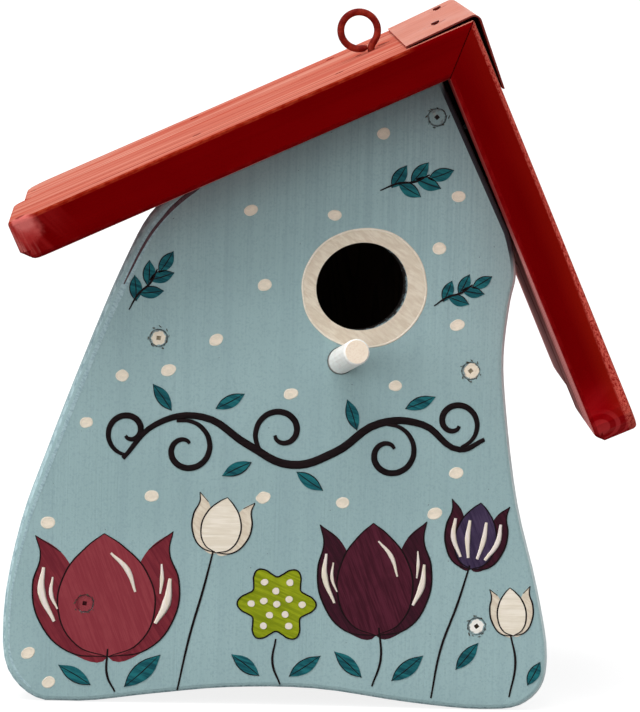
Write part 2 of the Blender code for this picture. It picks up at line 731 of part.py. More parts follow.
def strip_rows():
    """Points across the sheet from one lower edge to the other. The bend has a run of zero."""
    corner, left, right = strip_lines()
    left_heading = (left - corner).normalized()
    right_heading = (right - corner).normalized()
    left_out = Vector((left_heading.z, 0, -left_heading.x))
    right_out = Vector((-right_heading.z, 0, right_heading.x))
    half_bend = left_heading.angle(right_heading) / 2
    start = STRIP_BEND / math.tan(half_bend)
    centre = corner + left_heading * start - left_out * STRIP_BEND
    bend = []
    for step in range(1, STRIP_BEND_STEPS):
        outward = left_out.slerp(right_out, step / STRIP_BEND_STEPS)
        bend.append((centre + outward * STRIP_BEND, outward, 0.0))
    left_rows = leg_rows(corner, left, left_out, start)
    return left_rows[::-1] + bend + leg_rows(corner, right, right_out, start)


def dent_depth(run, y):
    """How far the pins have pulled the sheet down here, flat under the heads."""
    depth = 0.0
    for middle, middle_y in strip_pin_spots():
        slope = math.hypot(run - middle, y - middle_y) - PIN_HEAD
        share = max(slope, 0.0) / (STRIP_DENT_RADIUS - PIN_HEAD)
        if share < 1:
            depth += STRIP_DENT * (math.cos(math.pi * share) + 1) / 2
    return depth


def strip_pin_places(side):
    """Placements of the two pins of one leg, whose heads sit just above the dents."""
    corner, left, right = strip_lines()
    heading = ((left if side is LEFT else right) - corner).normalized()
    lift = STRIP_DENT - STRIP_SHEET / 2 - STRIP_PIN_LIFT - PIN_HEAD_HEIGHT
    return [
        along(corner + heading * run + side.inward * lift + BACKWARD * y, side.inward)
        for run, y in strip_pin_spots()]


def strip_pin_length():
    """From the head through the sheet and the space below it into the plank."""
    return PIN_HEAD_HEIGHT + STRIP_SHEET + STRIP_RIGHT_RISE + STRIP_PIN_BITE


def strip_pin_bores(side):
    """Straight bores for the two pins of one leg."""
    radius = PIN_RADIUS + GAP
    profile = [(radius, 0), (radius, strip_pin_length() + GAP)]
    return bores(profile, PIN_SIDES, strip_pin_places(side))


def add_strip(look):
    """The bent sheet over the ridge, dented round its pins."""
    depths = grid_lines(
        [y for run, y in strip_pin_spots()], ROOF_FRONT + STRIP_FRONT, ROOF_REAR - STRIP_REAR)
    bm = bmesh.new()
    rows = [
        [bm.verts.new(point - outward * dent_depth(run, y) + BACKWARD * y) for y in depths]
        for point, outward, run in strip_rows()]
    for near, far in zip(rows, rows[1:]):
        for place in range(len(depths) - 1):
            bm.faces.new((near[place], near[place + 1], far[place + 1], far[place]))
    sheet = add_object("sheet", mesh_from(bm, "sheet"))
    thickness = sheet.modifiers.new("thickness", "SOLIDIFY")
    thickness.thickness = STRIP_SHEET
    thickness.offset = 0
    bpy.context.view_layer.update()
    body = bmesh.new()
    body.from_object(sheet, bpy.context.evaluated_depsgraph_get())
    bpy.data.objects.remove(sheet)
    cutters = strip_pin_bores(LEFT) + strip_pin_bores(RIGHT)
    add_piece("ridge_strip", body, look, cutters=cutters)


def eye_foot():
    """Where the eye enters the plank."""
    return roof_point(LEFT, EYE_DOWN, 0, ROOF_FRONT + ROOF_DEPTH * EYE_SHARE)


def eye_path():
    """Middle line of the wire from the screw's tip up the neck and round the ring.

    Each point is a distance up the slope and a distance out of the plank.
    """
    neck_turn = math.pi / 2 - EYE_NECK
    neck_radius = EYE_RING * math.sin(EYE_NECK) / (1 - math.cos(neck_turn))
    centre = EYE_LIFT + neck_radius * math.sin(neck_turn) + EYE_RING * math.cos(EYE_NECK)
    path = [(0, -EYE_SHANK), (0, EYE_TIP - EYE_SHANK), (0, EYE_LIFT)]
    for step in range(1, EYE_NECK_STEPS):
        angle = neck_turn * step / EYE_NECK_STEPS
        path.append((
            neck_radius * (math.cos(angle) - 1), EYE_LIFT + neck_radius * math.sin(angle)))
    sweep = 2 * math.pi - EYE_NECK - EYE_MOUTH
    for step in range(EYE_STEPS + 1):
        angle = -math.pi / 2 - EYE_NECK - sweep * step / EYE_STEPS
        path.append((EYE_RING * math.cos(angle), centre + EYE_RING * math.sin(angle)))
    return path


def eye_bore():
    """Bore of the eye's shank."""
    radius = EYE_WIRE + GAP
    profile = [(radius, -OVERRUN), (radius, EYE_SHANK + GAP)]
    return turned(profile, EYE_SIDES, along(eye_foot(), LEFT_INWARD))


def add_eye(look):
    """The screw eye, one wire with a pointed end."""
    curve = bpy.data.curves.new("screw_eye", "CURVE")
    curve.dimensions = "3D"
    curve.bevel_depth = EYE_WIRE
    curve.bevel_resolution = EYE_RESOLUTION
    curve.use_fill_caps = True
    path = eye_path()
    wire = curve.splines.new("POLY")
    wire.points.add(len(path) - 1)
    for point, (slope, out) in zip(wire.points, path):
        place = -LEFT_DOWN * slope - LEFT_INWARD * out
        point.co = (place.x, place.y, place.z, 1)
    wire.points[0].radius = EYE_POINT_SHARE
    curve.materials.append(paint("screw_eye", look))
    add_object("screw_eye", curve, Matrix.Translation(eye_foot()))


def floor_sides():
    """Left and right end of the floor, clear of both walls at its upper face."""
    rise, left, right = wall_lines(LEFT_HIGH_SHARES, LEFT_LOW_SHARES)
    start = level_crossing(right, rise, WALL_RISE + FLOOR_BOARD).x + FLOOR_SIDE_GAP
    rise, left, right = wall_lines(RIGHT_HIGH_SHARES, RIGHT_LOW_SHARES)
    stop = level_crossing(left, rise, WALL_RISE + FLOOR_BOARD).x - FLOOR_SIDE_GAP
    return start, stop


def floor_pivot():
    """A point of the line on which the floor swings."""
    radius = FLOOR_BOARD / 2
    return Vector((0, REAR_INNER - FLOOR_REAR_GAP - radius, WALL_RISE + radius))


def pivot_screws():
    """Name, placement and length of the two screws on which the floor swings."""
    pivot = floor_pivot()
    start, stop = floor_sides()
    rise, outside, inside = wall_lines(LEFT_HIGH_SHARES, LEFT_LOW_SHARES)
    left = level_crossing(outside, rise, pivot.z).x + PIVOT_SINK
    rise, inside, outside = wall_lines(RIGHT_HIGH_SHARES, RIGHT_LOW_SHARES)
    right = level_crossing(outside, rise, pivot.z).x - PIVOT_SINK
    return (
        ("pivot_screw_left", along(pivot + ACROSS * left, ACROSS), start + PIVOT_BITE - left),
        ("pivot_screw_right", along(pivot + ACROSS * right, -ACROSS), right + PIVOT_BITE - stop))


def pivot_bores():
    """Bores of the two pivot screws."""
    return [
        turned(screw_profile(length, GAP), SCREW_SIDES, place)
        for name, place, length in pivot_screws()]


def add_floor(look, screw_look):
    """The floor flap, whose rear edge is rounded about its pivot, and its screws."""
    start, stop = floor_sides()
    pivot = floor_pivot()
    radius = FLOOR_BOARD / 2
    front = FRONT_INNER + FLOOR_FRONT_GAP
    points = [Vector((start, front, WALL_RISE + FLOOR_BOARD)), Vector((start, front, WALL_RISE))]
    for step in range(FLOOR_NOSE_STEPS + 1):
        angle = math.pi * step / FLOOR_NOSE_STEPS - math.pi / 2
        points.append(
            Vector((start, pivot.y + radius * math.cos(angle), pivot.z + radius * math.sin(angle))))
    floor = add_piece(
        "floor_flap", extruded(points, ACROSS * (stop - start)), look, origin=pivot,
        cutters=pivot_bores())
    for name, place, length in pivot_screws():
        screw = add_fastener(name, screw_profile(length), SCREW_SIDES, place, screw_look, True)
        screw.parent = floor
        screw.matrix_parent_inverse = floor.matrix_world.inverted()


def button_pivot():
    """Pivot of the turn button, at its upper face."""
    rise, left, right = wall_lines(RIGHT_HIGH_SHARES, RIGHT_LOW_SHARES)
    middle = level_crossing((left + right) / 2, rise, WALL_RISE)
    return Vector((middle.x, FRONT_INNER + BUTTON_BACK, WALL_RISE - GAP))


def button_screw():
    """Placement and length of the turn button's screw."""
    start = button_pivot() - UPWARD * (BUTTON_SHEET + GAP + BUTTON_DOME)
    room = panel_point(RIGHT_LOW_SHARES).z - SCREW_RADIUS - WALL_RISE
    bite = room * BUTTON_BITE_SHARE
    return along(start, UPWARD), BUTTON_DOME + BUTTON_SHEET + 2 * GAP + bite


def button_screw_bore():
    """Bore of the turn button's screw."""
    place, length = button_screw()
    radius = BUTTON_SCREW + GAP
    return turned([(radius, BUTTON_DOME), (radius, length + GAP)], SCREW_SIDES, place)


def add_button(look, screw_look):
    """The turn button, open and pointing to the rear, and its pan-head screw."""
    pivot = button_pivot()
    radius = BUTTON_WIDTH / 2
    points = []
    for middle, start in ((0.0, math.pi), (BUTTON_LENGTH - BUTTON_WIDTH, 0.0)):
        for step in range(BUTTON_STEPS + 1):
            angle = start + math.pi * step / BUTTON_STEPS
            side = Vector((math.cos(angle), math.sin(angle), 0)) * radius
            points.append(pivot + side + BACKWARD * middle)
    bm = extruded(points, UPWARD * -BUTTON_SHEET)
    add_piece("turn_button", bm, look, origin=pivot, cutters=[button_screw_bore()])
    place, length = button_screw()
    profile = [(wide * BUTTON_HEAD, high * BUTTON_DOME) for wide, high in PAN_SHARES]
    profile += [(BUTTON_SCREW, BUTTON_DOME), (BUTTON_SCREW, length - PIN_TIP), (0, length)]
    add_fastener("button_screw", profile, SCREW_SIDES, place, screw_look, True)


def add_screws(front_looks, look):
    """The panel screws, front and back."""
    profile = screw_profile(PANEL_BOARD + SCREW_BITE)
    places = panel_screw_places(FRONT_FACE, BACKWARD)
    for index, (place, front_look) in enumerate(zip(places, front_looks), 1):
        add_fastener(f"front_screw_{index}", profile, SCREW_SIDES, place, front_look, True)
    for index, place in enumerate(panel_screw_places(REAR_FACE, -BACKWARD), 1):
        add_fastener(f"back_screw_{index}", profile, SCREW_SIDES, place, look, True)


def add_pins(look):
    """The pins of the planks and of the ridge strip."""
    profile = pin_profile(ROOF_BOARD + PIN_BITE)
    for index, place in enumerate(roof_pin_places(LEFT) + roof_pin_places(RIGHT), 1):
        add_fastener(f"roof_pin_{index}", profile, PIN_SIDES, place, look)
    profile = pin_profile(strip_pin_length())
    for index, place in enumerate(strip_pin_places(LEFT) + strip_pin_places(RIGHT), 1):
        add_fastener(f"strip_pin_{index}", profile, PIN_SIDES, place, look)


def main():
    for piece in list(bpy.data.objects):
        bpy.data.objects.remove(piece)
    blue = (BLUE_PAINT, WOOD_ROUGHNESS, 0.0)
    red = (RED_PAINT, PAINT_ROUGHNESS, 0.0)
    cream = (CREAM_PAINT, PAINT_ROUGHNESS, 0.0)
    plum = (PLUM_PAINT, PAINT_ROUGHNESS, 0.0)
    bare = (BARE_WOOD, WOOD_ROUGHNESS, 0.0)
    zinc = (ZINC, ZINC_ROUGHNESS, 1.0)
    add_panels(blue)
    add_roof(red)
    add_walls(blue)
    add_batten(bare)
    add_strip(red)
    add_eye((EYE_PAINT, PAINT_ROUGHNESS, 0.0))
    add_piece("perch", perch_body(), cream)
    add_floor(bare, zinc)
    add_button(zinc, zinc)
    add_screws((blue, cream, cream, plum, cream), zinc)
    add_pins(red)


main()
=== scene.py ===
"""Looks of the bird nest box: chalky blue panel, weathered red roof, painted flowers, lights.

Metres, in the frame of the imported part. The front faces -Y.
"""
import math
import random

import bmesh
import bpy
from mathutils import Matrix, Vector


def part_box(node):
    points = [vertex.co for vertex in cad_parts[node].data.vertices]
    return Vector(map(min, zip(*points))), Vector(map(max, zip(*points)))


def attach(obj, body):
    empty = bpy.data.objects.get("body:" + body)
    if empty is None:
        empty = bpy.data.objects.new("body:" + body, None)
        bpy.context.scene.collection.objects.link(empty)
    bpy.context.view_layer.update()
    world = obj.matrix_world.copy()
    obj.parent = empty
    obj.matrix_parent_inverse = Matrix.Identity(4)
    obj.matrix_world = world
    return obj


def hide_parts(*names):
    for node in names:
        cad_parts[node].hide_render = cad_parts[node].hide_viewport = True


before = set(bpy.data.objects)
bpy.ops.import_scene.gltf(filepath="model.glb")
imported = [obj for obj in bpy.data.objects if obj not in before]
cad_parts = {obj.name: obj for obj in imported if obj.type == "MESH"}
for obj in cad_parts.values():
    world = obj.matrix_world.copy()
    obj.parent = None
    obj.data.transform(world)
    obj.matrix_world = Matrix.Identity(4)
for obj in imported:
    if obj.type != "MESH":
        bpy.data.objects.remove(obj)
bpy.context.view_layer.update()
MM = 0.001

# Directions
LEFTWARD, RIGHTWARD = (-1, 0, 0), (1, 0, 0)
FORWARD, BACKWARD = (0, -1, 0), (0, 1, 0)
UPWARD = (0, 0, 1)
UPRIGHT = math.pi / 2                     # turn of a board whose grain runs up
LEFT_PITCH = math.radians(25.0)           # of the roof
RIGHT_PITCH = math.radians(66.2)
LEFT_WALL_LEAN = math.radians(75.85)      # from +X up to the wall's long edge
RIGHT_WALL_LEAN = math.radians(93.04)
PERCH_AXIS = (0.161, -0.961, 0.225)

# Places of the boards, from the frame where it gives them
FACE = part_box("front_panel")[0].y         # outer face of the front panel
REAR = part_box("back_panel")[1].y          # outer face of the back panel
RIDGE = (0.05096, 0.0, 0.2562)            # outer ridge line of the planks
LEFT_WALL_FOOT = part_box("left_wall")[0]
RIGHT_WALL_FOOT = (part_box("right_wall")[1].x, 0.0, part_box("right_wall")[0].z)
LEFT_RUN = 0.1843                         # from the ridge down to the front planks' eave
RIGHT_RUN = 0.1613
LEFT_INSIDE = (0.124, 0.1234)             # runs between which the inside of the box ends
RIGHT_INSIDE = (0.059, 0.058)
STEEP_SIDE = (0.040, 0.043)               # painted shade on the front panel's rim beyond this X
STEEP_FOOT = (0.160, 0.172)               # and above this Z
ARC_CENTRE = (0.1017, -0.0734, 0.1085)    # of the growth rings at the right eave
STRIP_DENTS = ((41.0, -27.4, 254.2), (45.6, 48.5, 256.6))     # painted shade in the dents beside its pins, in millimetres

# Entrance and its painted ring: X and Z in millimetres, as all places on the panel below
ENTRANCE = (14.3, 156.55)
ENTRANCE_RADII = (17.0, 16.0)
ENTRANCE_TURN = math.radians(27)
BORE_REACH = 0.0186                       # in metres, takes in the whole wall of the hole
RING_SHIFT = (0.9, -0.6)                  # of the ring's middle from the entrance
RING_RADII = (23.3, 22.2)
RING_BORDER = (22.9, 21.8)
RING_UNEVEN = 0.014
RING_SEED = 4

# Screw eye, and its route: out of the plank, then round the ring
EYE_FOOT = (0.01761, 0.0020, 0.24065)     # on the face of the plank
EYE_RING = (0.0128, 0.0020, 0.2482)       # middle of the ring
EYE_RADIUS = 0.0069
EYE_WIRE = 0.00135                        # radius
EYE_DEPTHS = (0.013, 0.004, 0.001)        # in the plank
EYE_NECK = 0.0006                         # above the plank
EYE_START = -34                           # degrees
EYE_SWEEP = 332
EYE_STEPS = 24
EYE_ENDS = (0.2, 0.55)                    # thickness of the wire's ends

# Camera
FOCAL_PIXELS = 5117
LONG_SIDE = 712
SENSOR = 36
CAMERA_PLACE = (-0.0675, -1.9172, 0.3326)
CAMERA_TURN = (83.83, -1.53, -1.89)       # degrees
CAMERA_CLIP = (0.05, 50)

# Light
AMBIENT = 0.37
FLOOR_SEEN = (0.24, 0.24, 0.24, 1.0)
FLOOR_GLOW = 0.85
FLOOR_BOUNCE = (0.30, 0.30, 0.30, 1.0)
FLOOR_SIZE = 30
FLOOR_PLACE = (0, 5, -0.0002)             # just below the feet
WHITE = (1, 1, 1, 1)
SUNS = (                                  # name, where from, strength, width in degrees
    ("overhead", (-0.25, -0.30, 1.0), 2.2, 40),
    ("front", (-0.85, -1.0, 0.35), 1.1, 60),
    ("left", (-1.0, -0.40, 0.10), 0.8, 60),
    ("back", (0.7, 0.9, 0.4), 1.0, 60))


def rgb(red, green, blue):
    """A colour of 0 to 255 as the linear value that shaders take."""
    linear = []
    for value in (red / 255, green / 255, blue / 255):
        linear.append(value / 12.92 if value <= 0.04045 else ((value + 0.055) / 1.055) ** 2.4)
    return (*linear, 1.0)


BLUE = rgb(158, 186, 188)
BLUE_LIGHT = rgb(164, 192, 194)
BLUE_DARK = rgb(134, 160, 168)
# RIM is paler than the paint: painted light on the routed rims
RIM = rgb(182, 208, 212)
# undercoat in specks of wear, and the colour of the painted shadow line on the left rim
UNDERCOAT_AND_SHADE = rgb(74, 52, 58)
RED = rgb(116, 2, 4)
RED_DEEP = rgb(103, 0, 2)
RED_BRIGHT = rgb(160, 34, 34)
RED_FADED_AND_SHEEN = rgb(198, 116, 98)
RED_PALE_AND_SHEEN = rgb(212, 150, 132)
RED_GROOVE = rgb(146, 36, 26)
PINK = rgb(224, 132, 126)
CREAM = rgb(240, 228, 208)
CREAM_DARK = rgb(224, 208, 186)
BERRY = rgb(148, 60, 68)
INK = rgb(16, 9, 11)
WOOD = rgb(212, 178, 130)
WOOD_DARK = rgb(168, 122, 78)
WOOD_SHADE = rgb(66, 50, 38)
ZINC = rgb(190, 190, 186)
RUST = rgb(96, 40, 24)
DARK = rgb(34, 22, 20)

GROWTH = 0.006                            # between two growth rings


class Look:
    """Writes a material's nodes in few words. Each method adds nodes and returns the output."""

    def __init__(self, name, roughness=0.5, metallic=0.0, specular=0.12):
        self.material = bpy.data.materials.new(name)
        self.material.use_nodes = True
        self.tree = self.material.node_tree
        self.shader = self.tree.nodes["Principled BSDF"]
        self.shader.inputs["Roughness"].default_value = roughness
        self.shader.inputs["Metallic"].default_value = metallic
        self.shader.inputs["Specular IOR Level"].default_value = specular
        self.coordinates = self.add("TexCoord", out="Object")
        self.normal = self.add("NewGeometry", out="Normal")

    def add(self, kind, inputs=None, out=0, **settings):
        node = self.tree.nodes.new("ShaderNode" + kind)
        for name, value in settings.items():
            setattr(node, name, value)
        for socket, value in (inputs or {}).items():
            self.feed(node.inputs[socket], value)
        return node.outputs[out]

    def feed(self, socket, value):
        if isinstance(value, bpy.types.NodeSocket):
            self.tree.links.new(value, socket)
        else:
            socket.default_value = value

    def maths(self, operation, *values):
        return self.add("Math", dict(enumerate(values)), operation=operation)

    def times(self, *values):
        product = values[0]
        for value in values[1:]:
            product = self.maths("MULTIPLY", product, value)
        return product

    def plus(self, first, second, share=1.0):
        """The first value and a share of the second."""
        return self.maths("MULTIPLY_ADD", second, share, first)

    def inverse(self, value):
        return self.maths("SUBTRACT", 1.0, value)

    def local(self, size, turn=0.0, centre=(0, 0, 0)):
        """Object coordinates about a place, turned about Y and measured in sizes."""
        if not isinstance(size, tuple):
            size = (size, size, size)
        inputs = {"Vector": self.coordinates, "Location": centre, "Rotation": (0, turn, 0),
                  "Scale": size}
        return self.add("Mapping", inputs, vector_type="TEXTURE")

    def noise(self, size, turn=0.0, detail=3.0, roughness=0.5, centre=(0, 0, 0)):
        inputs = {"Vector": self.local(size, turn, centre), "Scale": 1.0, "Detail": detail,
                  "Roughness": roughness}
        return self.add("TexNoise", inputs)

    def ramp(self, value, low, high):
        """Rises smoothly from 0 at low to 1 at high, or falls if low is the larger."""
        inputs = {"Value": value, "From Min": low, "From Max": high}
        return self.add("MapRange", inputs, interpolation_type="SMOOTHSTEP")

    def mix(self, share, first, second):
        return self.add("Mix", {0: share, 6: first, 7: second}, out=2, data_type="RGBA")

    def lay(self, colour, shade, *shares):
        """Covers a colour with another one by the product of these shares."""
        return self.mix(self.times(*shares), colour, shade)

    def dot(self, vector, direction):
        return self.add("VectorMath", {0: vector, 1: direction}, out="Value",
                        operation="DOT_PRODUCT")

    def facing(self, direction):
        """1 where the surface faces this way, 0 across it, -1 away from it."""
        return self.dot(self.normal, direction)

    def reach(self, direction, start=(0, 0, 0)):
        """How far a point lies along a direction from a place."""
        return self.maths("SUBTRACT", self.dot(self.coordinates, direction),
                          Vector(start).dot(Vector(direction)))

    def spot(self, centre, radii, turn=0.0, edge=0.3, ragged=0.25, grit=0.002):
        """1 inside an ellipsoid at a place, with a ragged rim."""
        away = self.add("VectorMath", {0: self.local(radii, turn, centre)}, out="Value",
                        operation="LENGTH")
        uneven = self.maths("SUBTRACT", self.noise(grit, detail=2.0), 0.5)
        return self.ramp(self.plus(away, uneven, ragged), 1.0, 1.0 - edge)

    def bump(self, height, distance):
        return self.add("Bump", {"Height": height, "Distance": distance, "Strength": 1.0})

    def done(self, colour, roughness=None, normal=None):
        self.feed(self.shader.inputs["Base Color"], colour)
        if roughness is not None:
            self.feed(self.shader.inputs["Roughness"], roughness)
        if normal is not None:
            self.feed(self.shader.inputs["Normal"], normal)
        return self.material


def wood_rings(look, turn):
    """Growth rings of a board whose grain runs along X turned by this angle: 0 early, 1 late."""
    warp = look.noise((0.22, 0.02, 0.02), turn, detail=2.0)
    across = look.local((0.6, GROWTH, GROWTH), turn)
    moved = look.add("VectorMath", {0: across, 1: look.times(warp, 6.0)}, operation="ADD")
    rings = look.add("TexWave", {"Vector": moved, "Scale": 0.5, "Distortion": 1.2, "Detail": 2.0,
                                 "Detail Scale": 0.6},
                     wave_type="BANDS", bands_direction="DIAGONAL", wave_profile="SAW")
    return look.ramp(rings, 0.35, 1.0)


def bare_colour(look, turn, shade):
    """Unpainted softwood along a grain direction, with painted shade mixed in where shade says."""
    rings = wood_rings(look, turn)
    fibre = look.noise((0.05, 0.0006, 0.0006), turn, detail=4.0, roughness=0.65)
    colour = look.lay(WOOD, WOOD_DARK, rings, 0.55)
    colour = look.mix(look.ramp(fibre, 0.62, 0.42), colour, rgb(228, 200, 158))
    knots = look.ramp(look.noise((0.03, 0.012, 0.012), turn, detail=0.0), 0.74, 0.82)
    colour = look.mix(knots, colour, rgb(120, 76, 44))
    painted_shade_colour = look.lay(WOOD_SHADE, rgb(52, 40, 30), rings)
    return look.mix(shade, colour, painted_shade_colour), rings, fibre


def bare_wood(name, turn, shaded=None):
    """Planed softwood, with painted shade where it looks into the box: one way, or all round."""
    look = Look(name, 0.75)
    shade = look.ramp(look.facing(shaded), 0.5, 0.8) if shaded else 1.0
    colour, rings, fibre = bare_colour(look, turn, shade)
    grain = look.plus(fibre, rings, 0.5)
    return look.done(colour, look.ramp(fibre, -1.2, 1.4), look.bump(grain, 0.00012))


def between_walls(look):
    """1 between the outer faces of the two side walls, 0 outside them."""
    left = (math.sin(LEFT_WALL_LEAN), 0, -math.cos(LEFT_WALL_LEAN))
    right = (-math.sin(RIGHT_WALL_LEAN), 0, math.cos(RIGHT_WALL_LEAN))
    return look.times(
        look.ramp(look.reach(left, LEFT_WALL_FOOT), 0.0, 0.0006),
        look.ramp(look.reach(right, RIGHT_WALL_FOOT), 0.0, 0.0006))


def blue_board(name, turn, outward, everywhere=True):
    """Chalky blue-grey paint on softwood, brushed along the grain.

    Faces turned away from outward stay bare wood under painted shade, everywhere or between the
    walls only.
    """
    look = Look(name, 0.7)
    fine = look.noise((0.09, 0.0008, 0.0008), turn, detail=4.0, roughness=0.6)
    broad = look.noise((0.25, 0.006, 0.006), turn, detail=2.0)
    cloud = look.noise(0.06, detail=3.0)
    weave = look.noise(0.0008, detail=2.0)
    colour = look.mix(look.ramp(cloud, 0.35, 0.65), BLUE, BLUE_LIGHT)
    streaks = look.ramp(fine, 0.56, 0.36)
    high = look.ramp(look.reach(UPWARD), 0.10, 0.22)
    colour = look.lay(colour, BLUE_DARK, streaks, look.plus(0.10, high, 0.22))
    colour = look.lay(colour, BLUE_DARK, look.ramp(broad, 0.46, 0.66), 0.14)
    colour = look.lay(colour, BLUE_DARK, look.ramp(weave, 0.50, 0.66), 0.30)
    specks = look.ramp(look.noise(0.0013, detail=1.0, centre=(0.4, 0, 0)), 0.80, 0.84)
    colour = look.lay(colour, UNDERCOAT_AND_SHADE, specks, 0.6)

    front = look.facing(outward)
    # the routed rim: rough, mottled between dark and pale, and paler all round as painted light; a
    # painted highlight makes its right-facing side paler still
    rough_edge = look.noise((0.004, 0.0016, 0.0016), turn, detail=4.0, roughness=0.7)
    rim = look.mix(look.ramp(rough_edge, 0.36, 0.60), BLUE_DARK, RIM)
    rim = look.lay(rim, rgb(236, 250, 250), look.ramp(look.facing(RIGHTWARD), 0.1, 0.5), 0.75)
    colour = look.lay(colour, rim, look.ramp(front, 0.985, 0.80), 0.9)
    # bare wood under painted shade on the inner faces
    bare = bare_colour(look, turn, 1.0)[0]
    inside = look.ramp(front, -0.55, -0.7)
    if not everywhere:
        inside = look.times(inside, between_walls(look))
    colour = look.mix(inside, colour, bare)

    rim_grit = look.times(look.ramp(front, 0.985, 0.80), rough_edge)
    height = look.plus(look.plus(fine, weave, 0.5), rim_grit, 1.5)
    return look, colour, look.ramp(fine, -1.4, 1.4), look.bump(height, 0.00014)


def front_panel_look():
    """Blue paint, painted shade on the rim under the steep roof, and the rough bore with painted
    shade inside.
    """
    outward = FORWARD
    look, colour, rough, normal = blue_board(
        "front_panel_paint", UPRIGHT, outward, everywhere=False)
    front = look.facing(outward)
    # painted shade on the rim along the steep slope of the roof
    steep = look.times(look.ramp(look.reach(RIGHTWARD), *STEEP_SIDE),
                       look.ramp(look.reach(UPWARD), *STEEP_FOOT))
    side = look.ramp(front, 0.999, 0.97)
    colour = look.lay(colour, rgb(46, 34, 44), side, steep, 0.94)
    # the bore of the entrance: painted shade inside, smeared with paint near the front
    place = (ENTRANCE[0] * MM, FACE + 0.008, ENTRANCE[1] * MM)
    bore = look.spot(place, (BORE_REACH, 0.2, BORE_REACH), edge=0.03, ragged=0.0)
    depth = look.reach(BACKWARD, (0, FACE, 0))
    bore = look.times(bore, look.ramp(depth, 0.0002, 0.0010))
    splinters = look.noise((0.0016, 0.008, 0.0016), detail=4.0, roughness=0.7)
    smear = look.ramp(look.plus(splinters, look.ramp(depth, 0.0005, 0.012), -0.22), 0.38, 0.50)
    wall = look.mix(smear, rgb(40, 34, 32), rgb(150, 172, 178))
    colour = look.mix(bore, colour, wall)
    return look.done(colour, rough, normal)


def board_look(name, turn, outward):
    """Blue paint outside, bare wood inside."""
    look, colour, rough, normal = blue_board(name, turn, outward)
    return look.done(colour, rough, normal)


